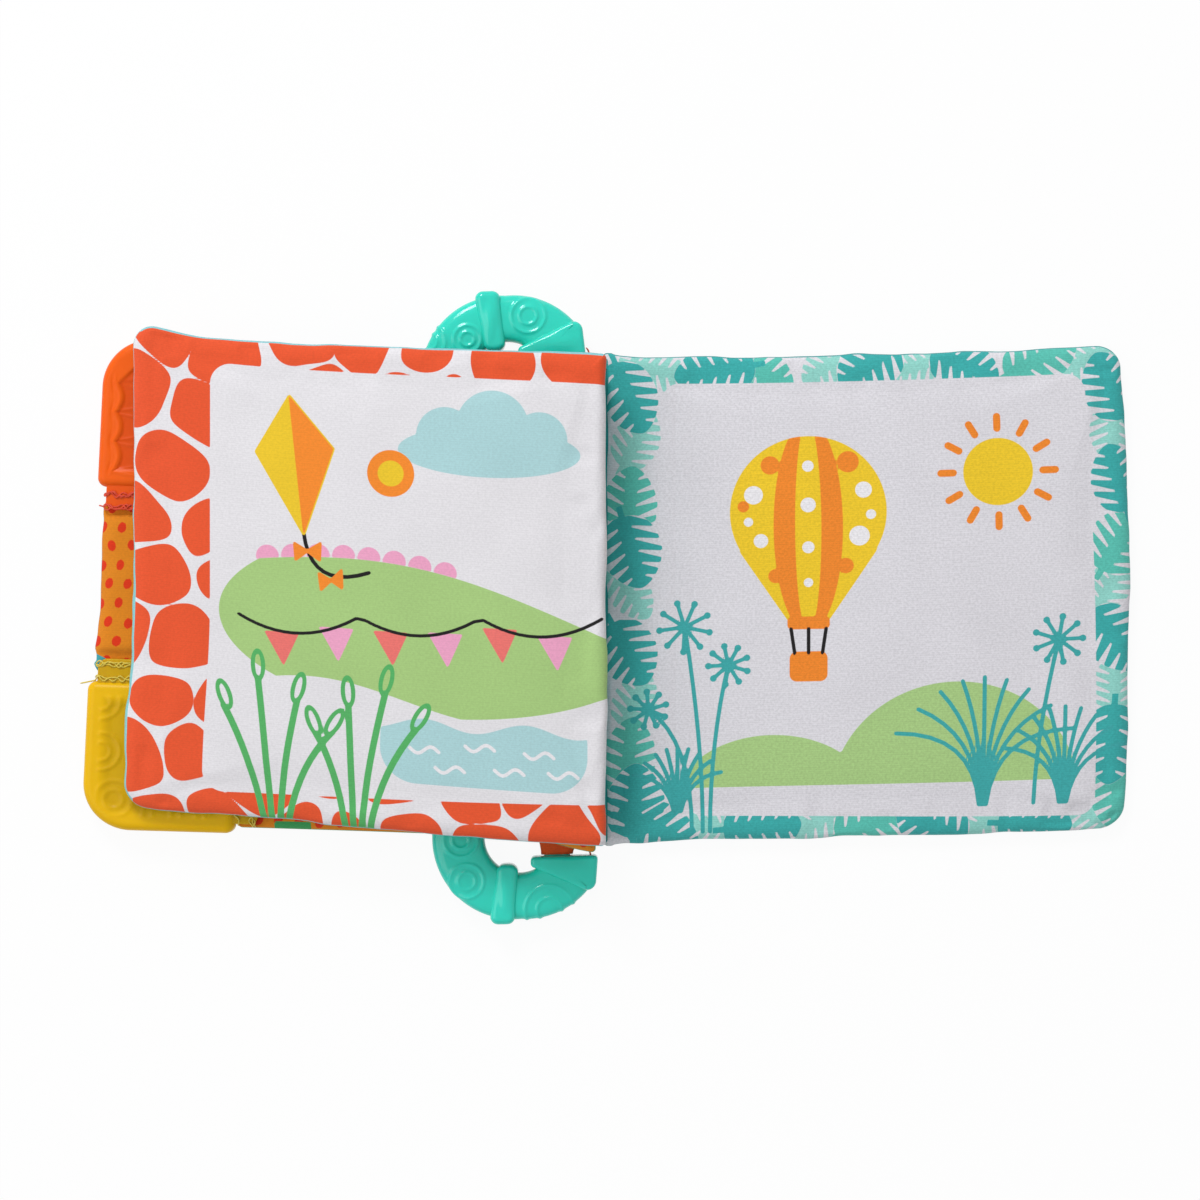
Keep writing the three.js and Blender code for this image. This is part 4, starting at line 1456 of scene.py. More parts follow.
    def build(self) -> None:
        """Make the page and sew, print and place it."""
        x, y, inset = self.grid(self.count)
        x_sewn, y_sewn = self.sewn(x, y, inset)
        top, base = (
            self.sizes.place(x_sewn, y_sewn, level) for level in self.ruckled(x, y, inset))
        inner = (slice(2, -2, 2), slice(2, -2, 2))
        points = np.concatenate([top.reshape(-1, 3), base[inner].reshape(-1, 3)])
        groups = self.fine_faces()
        if self.sizes.facing is Facing.LEFT:
            groups = [group[:, ::-1] for group in groups]
        made = new_mesh(self.name, points, groups)
        flat_x, flat_y, depth = (
            np.concatenate([value.ravel(), value[inner].ravel()]) for value in (x, y, inset))
        sign = 1 if self.sizes.facing is Facing.BACK_COVER else -1
        shown = self.seam_shows.width(flat_x, flat_y, self.low, self.high, self.half_y)
        shown = shown * (1 + 0.5 * noise(flat_x, flat_y, 9, self.seed + 5))
        printed(made, flat_x, flat_y, [(self.prints[0], sign), (self.prints[1], 1)],
                [(self.seam_shows.colour, depth - shown)])
        index = np.zeros(sum(map(len, groups)), np.int32)
        index[len(groups[0]) :] = 1
        made.data.polygons.foreach_set("material_index", index)
        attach(made, self.body)
        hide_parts(*self.replaced)


# Front cover with its corner teethers


@dataclass
class CornerSizes:
    """The moulded corners and the notches that they fill."""

    size: float = 42.3
    proud: float = 1.7  # how far they stand out past the cloth
    thick: float = 6.8
    corner: float = 13.5  # radius of the book's corner
    heel: float = 2.6  # radius at each end of the cloth's side
    edge: float = 2.3
    fit: float = 0.3
    flange_wide: float = 6.4
    flange_thick: float = 1.2
    flange_short: float = 1.0  # how far its ends stay back from the cloth's edges
    lap_height: float = 1.0  # of the pressed cloth over the mid-plane
    rim: float = 4.6
    corner_cut: float = 8.0  # how far the inner plate is cut off at the book's corner
    swirl_cut: float = 3.5

    @property
    def notch(self) -> float:
        """Side of the square that is cut from the cloth."""
        return self.size - self.proud

    def outline(self, lap: float, short: float) -> Outline:
        """Outline of the upper corner's body, or of its flange where it laps over the cloth.

        Args:
            lap: How far it goes out over the cloth.
            short: How far its outer sides stay back.

        Returns:
            The outline, on the flat page.
        """
        inside = COVER.reach - self.notch + self.fit - lap
        low = COVER.spine_height / 2 - self.notch + self.fit - lap
        out, high = COVER.reach + self.proud - short, COVER.spine_height / 2 + self.proud - short
        hollow = PAGE_CORNER - self.fit + lap
        return Outline((
            (inside, low, hollow), (out, low, self.heel), (out, high, self.corner - short),
            (inside, high, self.heel)), side_step=0.5, arc_steps=30)


class Relief(Enum):
    """What is moulded on a teether's face."""

    PETALS = "petals"
    SWIRLS = "swirls"


@dataclass
class Teether:
    """A moulded corner of the front cover, with its sewing flange."""

    name: str
    end: int  # 1 for the upper corner and -1 for the lower
    relief: Relief
    finish: Plastic
    material_slot: str
    sizes: CornerSizes

    def face(self, x: Array, y: Array) -> tuple[Array, Array]:
        """Relief inside the rim, with y measured towards the corner.

        Args:
            x: Places out from the spine's seam.
            y: Places up the page, or down it for the lower corner.

        Returns:
            Its height, and how far each place takes the painted shade of the lowered plate, from 0 to
            1.
        """
        s = self.sizes
        inside = COVER.reach - s.notch + s.fit + s.rim
        low = COVER.spine_height / 2 - s.notch + s.fit + s.rim
        out, high = COVER.reach + s.proud - s.rim, COVER.spine_height / 2 + s.proud - s.rim
        cut_off = s.corner_cut if self.relief is Relief.PETALS else s.swirl_cut
        cut = (x - out + y - high + cut_off) / math.sqrt(2)
        plate = np.maximum.reduce([x - out, y - high, inside - x, low - y, cut])
        if self.relief is Relief.PETALS:
            return self.petals(x, y, plate, (low, high, inside, out))
        return self.swirls(out + s.rim - x, high + s.rim - y, plate)

    @staticmethod
    def swirls(back: Array, down: Array, plate: Array) -> tuple[Array, Array]:
        """A plate lowered by 0.5 mm with double rings on it, each a ridge of 0.26 mm.

        Args:
            back: Places from the book's free edge towards the spine.
            down: Places from its other edge.
            plate: Distances to the plate.

        Returns:
            Height of the relief and the share of painted shade, half strength over the plate.
        """
        height = -0.5 * (1 - smooth(plate, -3.2, 0.6))
        within = 1 - smooth(plate, -0.2, 1.2)
        for middle in ((4.4, 36.6), (36.6, 4.4), (4.8, 22.2), (22.2, 4.8), (8.8, 8.8)):
            away = np.hypot(back - middle[0], down - middle[1])
            for radius in (2.6, 5.2):
                height = height + 0.26 * ridge(away, radius, 0.6) * within
        # Painted shade at half strength over the lowered plate.
        return height, 0.5 * (1 - smooth(plate, -2.5, 0.5))

    def petals(self, x: Array, y: Array, plate: Array,
               sides: tuple[float, ...]) -> tuple[Array, Array]:
        """Petals that swell from the rim over the plate, with two fine ribs out of each cusp.

        A petal's edge bulges by 1.7 |sin(3 pi t)|^0.8 along the rim. A ridge follows it, and a
        groove parts the petals from the rim.

        Args:
            x: Places out from the spine's seam.
            y: Places towards the corner.
            plate: Distances to the plate inside the rim.
            sides: The plate's low, high, inner and outer side.

        Returns:
            Height of the relief and the share of painted shade over the plate's floor.
        """
        low, high, inside, out = sides
        cut, count = self.sizes.corner_cut, 3
        height = np.zeros(x.shape)
        for at, away, start, end in (
                (y, out - x, low, high - cut), (x, high - y, inside, out - cut)):
            run = np.clip((at - start) / (end - start), 0, 1)
            edge = away - 1.7 * np.abs(np.sin(count * math.pi * run)) ** 0.8
            ends = smooth(at, start - 1.5, start) * (1 - smooth(at, end + 0.5, end + 3))
            height = height + 0.22 * ridge(edge, -0.7, 0.5) * ends
            height = height - 0.2 * ridge(away, -1.2, 0.45) * ends
            plate = np.maximum(plate, -edge)
            for cusp in range(count + 1):
                aside = np.abs(at - start - (end - start) * cusp / count)
                rib = ridge(aside - 0.16 * np.maximum(away, 0), 0.35, 0.42)
                height = height + 0.15 * rib * smooth(away, -1.0, 0.8) * (1 - smooth(away, 4, 8))
        # The plate's floor, 0.5 mm down, takes the full painted shade.
        floor = 1 - smooth(plate, -0.9, 0.2)
        return height * (1 - smooth(plate, 2, 3)) - 0.5 * floor, floor

    def build(self) -> None:
        """Make the moulded body and its flange."""
        s = self.sizes
        half = s.thick / 2
        body = s.outline(0, 0).plate(-half, half, s.edge, inner=84)
        relief, sunk = self.face(body[..., 0], body[..., 1])
        level = smooth(np.abs(body[..., 2]), half - 0.9, half - 0.1)
        body[..., 2] += np.sign(body[..., 2]) * relief * level
        base = s.lap_height + s.fit
        flange = s.outline(s.flange_wide, s.proud + s.flange_short).plate(
            base, base + s.flange_thick, 0.4, inner=4)
        # Painted shade: the body's share comes from its face, and the flange has 0.7 of it all over.
        flange_painted_shade = np.full(flange.shape[:2], 0.7)
        for suffix, grid, deep in (("", body, sunk * level), ("_flange", flange, flange_painted_shade)):
            poles = (grid[0].mean(axis=0), grid[-1].mean(axis=0))
            shape = np.concatenate([grid.reshape(-1, 3), poles])
            placed = COVER.place(shape[:, 0], self.end * shape[:, 1], shape[:, 2])
            points, groups = skin(placed[:-2].reshape(grid.shape), (placed[-2], placed[-1]))
            piece = new_mesh(self.name + suffix, points, groups, self.finish.material())
            # Each point's share of painted shade, the two poles' too.
            tint = np.concatenate([deep.ravel(), deep[0, :1], deep[-1, :1]]).astype(np.float32)
            piece.data.attributes.new("sunk", "FLOAT", "POINT").data.foreach_set("value", tint)
            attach(piece, "front_cover")
            if not suffix:
                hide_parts(self.name)


def notched(low: float, high: float, half: float, notch: float,
            radii: tuple[float, float, float]) -> tuple[tuple[float, float, float], ...]:
    """Places of an outline with a square notch at both free corners.

    Args:
        low, high: Its sides at the spine and at the free edge.
        half: Its half height.
        notch: Side of a notch.
        radii: Radii in and beside the notches, at their ends on the long sides and at the spine.

    Returns:
        The places, anticlockwise from the lower notch.
    """
    r, tight, spine = radii
    return ((high - notch, -half, tight), (high - notch, notch - half, r), (high, notch - half, r),
            (high, half - notch, r), (high - notch, half - notch, r), (high - notch, half, tight),
            (low, half, spine), (low, -half, spine))


@dataclass
class CoverPad:
    """The front cover's padded cloth, notched at its free corners."""

    sizes: CornerSizes
    rim: float = 12.0  # how far in its rings follow the outline

    def outline(self) -> Outline:
        """Its outline, anticlockwise from the lower notch.

        Returns:
            The outline, on the flat page.
        """
        places = notched(COVER.start, COVER.reach, COVER.spine_height / 2, self.sizes.notch,
                         (PAGE_CORNER, 1.8, SPINE_CORNER))
        return Outline(places, side_step=1.0, arc_steps=28)

    def rings(self) -> tuple[Array, Array, Array]:
        """Rings moved in from the edge, and past the rim drawn together to the middle.

        Returns:
            Flat places as (ring, step, xy), distances in from the edge and heights over the
            mid-plane.
        """
        outline = self.outline()
        middle = np.array([(COVER.start + COVER.reach) / 2, 0])
        insets = self.rim * np.linspace(0, 1, 17) ** 1.5
        shares = np.linspace(1, 0.02, 58)[1:]
        edge = [outline.ring(inset) for inset in insets]
        flat = np.array(edge + [middle + share * (edge[-1] - middle) for share in shares])
        inset = np.concatenate([insets, np.full(len(shares), self.rim)])
        crown = np.concatenate([np.zeros(len(insets)), 1 - shares**2])
        full = (PAD_HALF - PAD_CROWN) * roll(inset) + PAD_CROWN * crown
        steps = np.ones(flat.shape[1])
        return flat, inset[:, None] * steps, full[:, None] * steps

    def build(self) -> None:
        """Loft the pad from its rings, pressed flat where the flanges lap over it."""
        flat, inset, full = self.rings()
        x, y = flat[..., 0], flat[..., 1]
        n, half = self.sizes.notch, COVER.spine_height / 2
        beyond = (COVER.reach + 50, half + 50)
        notch = box(x, np.abs(y), (COVER.reach - n, half - n), beyond, PAGE_CORNER)
        press = 1 - smooth(notch, 7.0, 9.4)
        pressed = full + (np.minimum(full, self.sizes.lap_height) - full) * press
        near = (1 - smooth(inset, 2, 14)) * smooth(inset, 0.1, 2)
        ruck = np.abs(0.25 * noise(x, y, 7, 71) * near * (1 - press))
        # The free edge is lumpy, most of all above the lower teether, and the lower edge stands out
        # at the spine.
        at_edge = smooth(x, COVER.reach - 9, COVER.reach) * (1 - press)
        lump = 0.7 * noise(x, y, 6.5, 72) * at_edge + 0.9 * smooth(
            x, COVER.reach - 6, COVER.reach) * (1 - smooth(np.abs(y + 25.4), 2.6, 4.0))
        foot = y - 2.0 * smooth(-y, half - 12, half) * (1 - smooth(x, 5, 20))
        upper = COVER.place(x + lump, foot, pressed - ruck)
        lower = COVER.place((x + lump)[1:], foot[1:], (ruck - full)[1:])
        rings = np.concatenate([upper[::-1], lower])
        points, groups = skin(rings)
        made = new_mesh("front_cover_pad", points, groups)
        flat_x, flat_y, depth = (
            np.concatenate([value[::-1].ravel(), value[1:].ravel(), [pole] * 2])
            for value, pole in ((x, (COVER.start + COVER.reach) / 2), (y, 0), (inset, 99)))
        cyan = np.maximum(depth - 3.2 * smooth(-flat_y, 19.5, 21.5), COVER.reach - 6 - flat_x)
        green = np.maximum.reduce([depth - 2.2, np.abs(flat_x - 84.5) - 5, flat_y + half - 8])
        printed(made, flat_x, flat_y, [(AMBER_DOTS, 1), (CYAN_HILLS, 1)],
                [(CYAN_HILLS.base, cyan), (CYAN_HILLS.ink, green)])
        steps, last = len(flat[0]), len(rings) - 1
        ring_of = np.concatenate([
            np.repeat(np.arange(last), steps), np.repeat([0, last], steps)])
        lower_side = ring_of >= len(upper) - 2
        made.data.polygons.foreach_set("material_index", lower_side.astype(np.int32))
        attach(made, "front_cover")
        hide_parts("front_cover_inner_cloth", "front_cover_outer_cloth")


# Thread


def thread(name: str, colour: str) -> Material:
    """Bonded polyester thread: half matte, with a short mottle that reads as its twist."""
    return Plastic("bonded_polyester_thread_" + name, colour, 0.6, mottle=1.5).material()


@dataclass
class StitchRow:
    """A row of loose overlapping stitches along a flange, in strands that weave round its line."""

    name: str
    end: int  # 1 for the upper corner and -1 for the lower
    lap: float  # how far the row lies out from the body
    strands: int
    colour: str
    seed: int
    material_slot: str
    sizes: CornerSizes
    tail: float = 0.0  # length of the loose end that stands out past the cloth
    radius: float = 0.21
    step: float = 0.4
    over: float = 0.22  # of a strand's middle over the flange
    turned: float = 1.6  # length at each end that turns down over the cloth's edge

    def line(self) -> tuple[Array, Array, Array]:
        """The flange's L in even steps.

        Returns:
            Lengths along it, its places and its direction at each.
        """
        s = self.sizes
        inside = COVER.reach - s.notch + s.fit - self.lap
        low = COVER.spine_height / 2 - s.notch + s.fit - self.lap
        bend = PAGE_CORNER - s.fit + self.lap
        far = np.array([COVER.reach - 0.2, COVER.spine_height / 2 - 0.2])
        angle = np.linspace(-math.pi / 2, -math.pi, 14)
        round_x, round_y = inside + bend * (1 + np.cos(angle)), low + bend * (1 + np.sin(angle))
        path = np.concatenate([
            [[far[0], low]], np.stack([round_x, round_y], axis=1), [[inside, far[1]]]])
        length = np.concatenate([[0], np.cumsum(np.linalg.norm(np.diff(path, axis=0), axis=1))])
        along = np.arange(0, length[-1], self.step)
        places = np.stack([np.interp(along, length, path[:, axis]) for axis in (0, 1)], axis=1)
        run = np.gradient(places, axis=0)
        return along, places, run / np.linalg.norm(run, axis=1, keepdims=True)

    def build(self) -> None:
        """Run the strands along the L, each a sum of two sines to the side and a small one up.

        Past the cloth's edge they turn down over it: the height falls by sqrt(1 - 0.8 t^2).
        """
        s = self.sizes
        along, places, run = self.line()
        ends = np.minimum(along, along[-1] - along)
        drop = np.sqrt(1 - 0.8 * (np.clip(self.turned - ends, 0, self.turned) / self.turned) ** 2)
        aside_of = np.stack([-run[:, 1], run[:, 0]], axis=1)
        seat = s.lap_height + s.fit + s.flange_thick + self.over
        turns = 2 * math.pi * along
        rng = np.random.default_rng(self.seed)
        parts = []
        for strand in range(self.strands):
            phase = rng.uniform(0, 6.28, 3)
            wave = rng.uniform(4.5, 8.0)
            aside = 0.6 * np.sin(turns / wave + phase[0]) + 0.28 * np.sin(turns / 2.9 + phase[1])
            over = (seat + 0.2 * np.sin(turns / 2.2 + phase[2])) * drop
            line = np.column_stack([places + aside_of * aside[:, None], over])
            if self.tail and not strand:
                away = np.array([1, 0.25, 0.1]) * np.linspace(self.tail, 0.4, 8)[:, None]
                line = np.concatenate([line[0] + away, line])
            placed = COVER.place(line[:, 0], self.end * line[:, 1], line[:, 2])
            parts.append(tube(placed, self.radius))
        points, groups = merged(parts)
        made = new_mesh(self.name, points, groups, thread(self.name, self.colour))
        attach(made, "front_cover")


# Loop handle


@dataclass
class LoopHandle:
    """The moulded loop: a band with wraps, cuffs, embossed double rings and its sleeve's bar."""

    half: float = 86.4
    inner: float = 9.6  # radius of the opening at each end
    apex_wide: float = 12.9
    grip_wide: float = 14.6
    thick: float = 7.4
    square: float = 3.4  # power of the section's rounded square
    across: float = -25.3  # the loop's middle, from the spine's seam
    turn: float = math.radians(1.4)
    height: float = 4.2  # of its mid-plane over the table
    proud: float = 0.6  # how far the cuffs and wraps stand over the band's own thickness
    cuff_face: float = 69.0
    bar_half: float = 71.0
    ring_radii: tuple[float, float] = (2.4, 4.7)
    ring_height: float = 0.32
    ring_wide: float = 0.5
    # A smooth skin with soft broad highlights, a little deep, as elastomer is.
    finish: Plastic = Plastic("moulded_tpe_teal_semi_gloss", "#2EDAC4", 0.15, through=0.04)

    @property
    def end(self) -> float:
        """Place of each end's middle from the loop's."""
        return self.half - self.inner - self.apex_wide

    def placed(self, points: Array) -> Array:
        """Turn the drawing a little askew and lift it off the table.

        Args:
            points: Points of the drawing, with x, y and z along the last axis.

        Returns:
            The points in the frame.
        """
        c, s = math.cos(self.turn), math.sin(self.turn)
        x, y, z = points[..., 0], points[..., 1], points[..., 2]
        return np.stack([x * c - y * s, x * s + y * c, z + self.height], axis=-1)

    def width(self, at: float | Array) -> float | Array:
        """Width of the band at an angle round its end, least at the apex."""
        return self.apex_wide + (self.grip_wide - self.apex_wide) * np.abs(np.cos(at))

    def ring_centres(self) -> list[tuple[float, float, float]]:
        """Places of the embossed double rings.

        Returns:
            The middle and the size of each: (x, y, size).
        """
        round_ends = [  # (end, share of half a turn, share of the width, size)
            (1, 0.39, 0.6, 1), (1, 0.755, 0.4, 0.8), (1, 0.86, 1, 1),
            (-1, 0.38, 0.88, 1.45), (-1, 0.79, 0.64, 1), (-1, 1, 0.45, 1)]
        found = []
        for end, way, reach, size in round_ends:
            at = math.pi * way
            radius = self.inner + reach * self.width(at)
            up = end * (self.end + radius * math.sin(at))
            found.append((self.across + radius * math.cos(at), up, size))
        grip = self.across - self.inner - self.grip_wide / 2
        return found + [(grip, step * 24.0, 1.0) for step in range(-2, 3)]

    def section(self, count: int) -> tuple[Array, Array]:
        """Points of |a|^n + |b|^n = 1, evenly spaced round the real section.

        Args:
            count: Count of points.

        Returns:
            Their a and b.
        """
        angle = np.linspace(0, 2 * math.pi, 4001)
        power = 2 / self.square
        a = np.sign(np.cos(angle)) * np.abs(np.cos(angle)) ** power
        b = np.sign(np.sin(angle)) * np.abs(np.sin(angle)) ** power
        length = np.cumsum(np.hypot(np.gradient(a) * self.grip_wide, np.gradient(b) * self.thick))
        even = np.interp(np.linspace(length[0], length[-1], count, endpoint=False), length, angle)
        return np.interp(even, angle, a), np.interp(even, angle, b)

    def round_end(self, at: Array, end: int, section: tuple[Array, Array]) -> Array:
        """Sections swept round one end.

        Args:
            at: Angles round it.
            end: 1 for the upper, -1 for the lower.
            section: The section's points.

        Returns:
            Points as (angle, corner, xyz).
        """
        radius = self.inner + self.width(at)[:, None] / 2 * (1 + section[0])
        return np.stack([
            self.across + radius * np.cos(at)[:, None],
            end * (self.end + radius * np.sin(at)[:, None]),
            np.broadcast_to(self.thick / 2 * section[1], radius.shape)], axis=-1)

    def band(self) -> Skin:
        """Sweep a rounded section round both ends and along the grip, raised by the rings.

        A ring adds h exp(-((r - R)/w)^2) along the normal.

        Returns:
            The skin.
        """
        section = self.section(156)
        ends = np.linspace(math.radians(32), math.pi, 240)
        grip = np.linspace(self.end, -self.end, 150)[1:-1, None]
        x = self.across - self.inner - self.grip_wide / 2 * (1 + section[0])
        straight = np.stack(np.broadcast_arrays(x, grip, self.thick / 2 * section[1]), axis=-1)
        rings = np.concatenate([
            self.round_end(ends, 1, section), straight, self.round_end(ends[::-1], -1, section)])
        round_it = np.roll(rings, -1, axis=1) - np.roll(rings, 1, axis=1)
        normal = np.cross(np.gradient(rings, axis=0), round_it)
        normal /= np.maximum(np.linalg.norm(normal, axis=2, keepdims=True), 1e-9)
        middle = rings.mean(axis=1, keepdims=True)
        normal *= np.sign(((rings - middle) * normal).sum(axis=2, keepdims=True))
        rise = np.zeros(rings.shape[:2])
        for x, y, size in self.ring_centres():
            away = np.hypot(rings[..., 0] - x, rings[..., 1] - y)
            for radius in self.ring_radii:
                rise = np.maximum(rise, ridge(away, size * radius, self.ring_wide))
        return skin(self.placed(rings + normal * self.ring_height * rise[..., None]))

    def block(self, places: Sequence[tuple[float, float, float]], end: int,
              edge: float) -> Skin:
        """A cuff or a wrap: a plate a little thicker than the handle, with a low dome.

        Args:
            places: Corners of its outline at the upper end.
            end: 1 for the upper, -1 for the lower.
            edge: Radius of its edges.

        Returns:
            The skin.
        """
        grid = Outline(tuple(places), side_step=0.6).plate(
            -self.height, self.height + self.proud, edge, inner=14, dome=0.5)
        grid[..., 1] *= end
        return skin(self.placed(grid))

    def build(self) -> None:
        """Make the band, the cuffs, the wraps and the bar."""
        inside = self.end + self.inner - 2.6
        outside = self.half + 1.2
        wrap = [(-31.5, inside, 2.4), (-25.6, inside, 2.4), (-27.15, outside, 2.2),
                (-34.25, outside, 2.2)]
        face, flare = self.cuff_face, 1.25
        cuff = [(-22.3, face, flare), (-3.6, face, flare), (-4.6, 79.2, 2.6), (-7.4, 78.6, 1.2),
                (-22.3, face + 2.7, flare)]
        left, right, half = -18.6, -11.4, self.bar_half
        bar = Outline(((left, -half, 1.4), (right, -half, 1.4), (right, half, 1.4),
                       (left, half, 1.4)), side_step=4).plate(-1.6, 1.6, 1.3, inner=3)
        parts = {
            "loop_handle": self.band(),
            "handle_wrap_upper": self.block(wrap, 1, 1.7),
            "handle_wrap_lower": self.block(wrap, -1, 1.7),
            "handle_cuff_upper": self.block(cuff, 1, 1.2),
            "handle_cuff_lower": self.block(cuff, -1, 1.2),
            "handle_bar": skin(self.placed(bar)),
        }
        material = self.finish.material()
        for name, (points, groups) in parts.items():
            piece = new_mesh(name, points, groups, material)
            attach(piece, "handle")
            if name == "loop_handle":
                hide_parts(name)


@dataclass
class Sleeve:
    """Orange cloth sewn round the handle's bar, with its hem in the spine's seam."""

    handle: LoopHandle
    half: float = 68.65
    outer: tuple[float, float] = (8.8, 2.8)  # half width and half thickness
    inner: tuple[float, float] = (8.0, 2.0)
    across: float = -12.0
    pinch: float = 9.0  # how far in from its ends it is pinched
    finish: Cloth = Cloth("orange_woven_cotton", "#F05A26")  # matte, with a dry grain

    def build(self) -> None:
        """A tube with a wall: an outer skin that ruckles a little along the bar and an inner one."""
        along = np.linspace(-self.half, self.half, 150)
        angle = np.linspace(0, 2 * math.pi, 64, endpoint=False)
        c, s = np.cos(angle), np.sin(angle)
        rings = []
        for (wide, thick), row, ruckles in ((self.outer, along, 1), (self.inner, along[::-1], 0)):
            a = np.sign(c) * np.abs(c) ** 0.55 * wide
            b = np.sign(s) * np.abs(s) ** 0.8 * thick
            ruck = 0.14 * np.sin(row[:, None] / 1.9 + 2 * s) + 0.1 * np.sin(row[:, None] / 5.3)
            end = smooth(np.abs(row), self.half - self.pinch, self.half)[:, None]
            swell = 1 + ruckles * ruck / 3 - 0.16 * end
            rings.append(np.stack([
                self.across - 3.0 * end + a * (1 - 0.5 * end),
                np.broadcast_to(row[:, None], swell.shape), b * swell], axis=-1))
        grid = self.handle.placed(np.concatenate(rings))
        count, steps = grid.shape[:2]
        at = np.arange(count * steps).reshape(count, steps)
        down = np.roll(at, -1, axis=0)
        quads = np.stack([at, np.roll(at, -1, axis=1), np.roll(down, -1, axis=1), down], axis=-1)
        points = grid.reshape(-1, 3)
        groups = [outward(points, quads.reshape(-1, 4))]
        made = new_mesh("handle_sleeve", points, groups, self.finish.material())
        flat_y = np.concatenate([along, along[::-1]])[:, None]
        flat_x, flat_y = np.broadcast_arrays(angle * 6, flat_y)
        write_fields(made, flat_x.ravel(), flat_y.ravel())
        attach(made, "handle")
        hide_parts("handle_sleeve")


@dataclass
class LooseThread:
    """An end of sewing thread that peeks out of the sleeve's hem."""

    name: str
    start: tuple[float, float, float]
    bend: tuple[float, float, float]
    end: tuple[float, float, float]
    radius: float = 0.24
    colour: str = "#E2531F"

    def build(self) -> None:
        """Run a thin tube along a bent line."""
        points, groups = tube(curve(self.start, self.bend, self.end, 8), self.radius)
        made = new_mesh(self.name, points, groups, thread(self.name, self.colour))
        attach(made, "handle")


# Spine


@dataclass
class Strip:
    """A folded strip of cloth at the spine, with its section drawn in the frame's (x, z)."""

    name: str
    body: str
    section: tuple[tuple[float, float, float], ...]
    half: float
    finish: Cloth
    material_slot: str
    hem: float = 3.0  # height of the hem's top, below which the strip stays upright
    bow: float = 0.0  # how far it bends to the side half way up, clear of the leaf as it turns

    def build(self) -> None:
        """Carry the rounded section along +Y, with its ends drawn in and a bow of b sin(pi t)."""
        ring = Outline(self.section, arc_steps=4, side_step=0.9).ring(0)
        along = np.linspace(-self.half, self.half, 127)
        middle = ring.mean(axis=0)
        taper = 1 - 0.35 * smooth(np.abs(along), self.half - 0.6, self.half)
        ruck = 0.036 * np.sin(along / 2.3) + 0.024 * np.sin(along / 0.9)
        flat = middle + (ring[None] - middle) * taper[:, None, None]
        risen = np.clip((flat[..., 1] - self.hem) / (HINGE_HEIGHT - 0.35 - self.hem), 0, 1)
        grid = np.stack([
            flat[..., 0] + self.bow * np.sin(math.pi * risen),
            np.broadcast_to(along[:, None], flat.shape[:2]), flat[..., 1] + ruck[:, None]], axis=-1)
        points, groups = skin(grid)
        made = new_mesh(self.name, points, groups, self.finish.material())
        write_fields(made, points[:, 0] + points[:, 2], points[:, 1])
        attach(made, self.body)
        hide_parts(self.name)


# Fillings


@dataclass
class Filling:
    """Wadding in a page: a soft flat pad under the cloth."""

    page: str
    sizes: PageSizes
    notch: float = 0.0  # side of the square that is cut from its free corners
    inset: float = 10.5  # from the page's seam
    corner: float = 3.0
    low: float = -1.5
    high: float = 0.8
    round_edge: float = 1.1
    # Off-white and very coarse in its grain, which looks like loose fibre.
    finish: Cloth = Cloth("bonded_polyester_wadding", "#F2F0EA", grain=2.5)

    def outline(self) -> Outline:
        """Its outline, with or without notches.

        Returns:
            The outline, on the flat page.
        """
        low, high = self.sizes.start + self.inset, self.sizes.reach - self.inset
        half, r, n = self.sizes.spine_height / 2 - self.inset, self.corner, self.notch
        if not n:
            return Outline(
                ((low, -half, r), (high, -half, r), (high, half, r), (low, half, r)), side_step=3)
        return Outline(notched(low, high, half, n, (r, r, r)), side_step=3)

    def build(self) -> None:
        """Loft the wadding with a full round edge."""
        grid = self.outline().plate(self.low, self.high, self.round_edge, inner=16)
        poles = np.array([grid[0].mean(axis=0), grid[-1].mean(axis=0)])
        grid[..., 2] += 0.08 * noise(grid[..., 0], grid[..., 1], 8, 3)
        placed = self.sizes.place(grid[..., 0], grid[..., 1], grid[..., 2])
        ends = self.sizes.place(poles[:, 0], poles[:, 1], poles[:, 2])
        points, groups = skin(placed, (ends[0], ends[1]))
        made = new_mesh(f"{self.page}_wadding_pad", points, groups, self.finish.material())
        write_fields(made, points[:, 0], points[:, 1])
        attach(made, self.page)
        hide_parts(f"{self.page}_wadding")


# Stage


def table() -> None:
    """White paper, which the camera sees as plain white but for the book's soft shadow."""
    half, top = 3.0, -0.0001  # m, and the top lies just under the cloth
    floor_mesh = bpy.data.meshes.new("table")
    floor_mesh.from_pydata(
        [(-half, -half, top), (half, -half, top), (half, half, top), (-half, half, top)], [],
        [(0, 1, 2, 3)])
    floor = linked("table", floor_mesh)
    material, tree = fresh_tree("white_studio_paper")
    paper = add(tree, "BsdfDiffuse", {"Color": linear("#F4F4F5")}).outputs[0]
    glow = add(tree, "Emission", {"Color": (1, 1, 1, 1), "Strength": 1.0}).outputs[0]
    rays = add(tree, "LightPath").outputs
    seen = add(tree, "Math", {0: rays["Is Camera Ray"], 1: rays["Is Glossy Ray"]},
               operation="MAXIMUM").outputs[0]
    part = add(tree, "Math", {0: seen, 1: 0.94}, operation="MULTIPLY").outputs[0]
    mixed = add(tree, "MixShader", {0: part, 1: paper, 2: glow}).outputs[0]
    add(tree, "OutputMaterial", {"Surface": mixed})
    floor_mesh.materials.append(material)


def sky() -> None:
    """Plain white all round, which lights the book at about half its strength."""
    world = bpy.data.worlds.new("studio")
    bpy.context.scene.world = world
    world.use_nodes = True
    tree = world.node_tree
    tree.nodes.clear()
    soft, white = (
        add(tree, "Background", {"Color": (1, 1, 1, 1), "Strength": strength}).outputs[0]
        for strength in (0.52, 1.0))
    ray = add(tree, "LightPath").outputs["Is Camera Ray"]
    both = add(tree, "MixShader", {0: ray, 1: soft, 2: white}).outputs[0]
    add(tree, "OutputWorld", {"Surface": both})


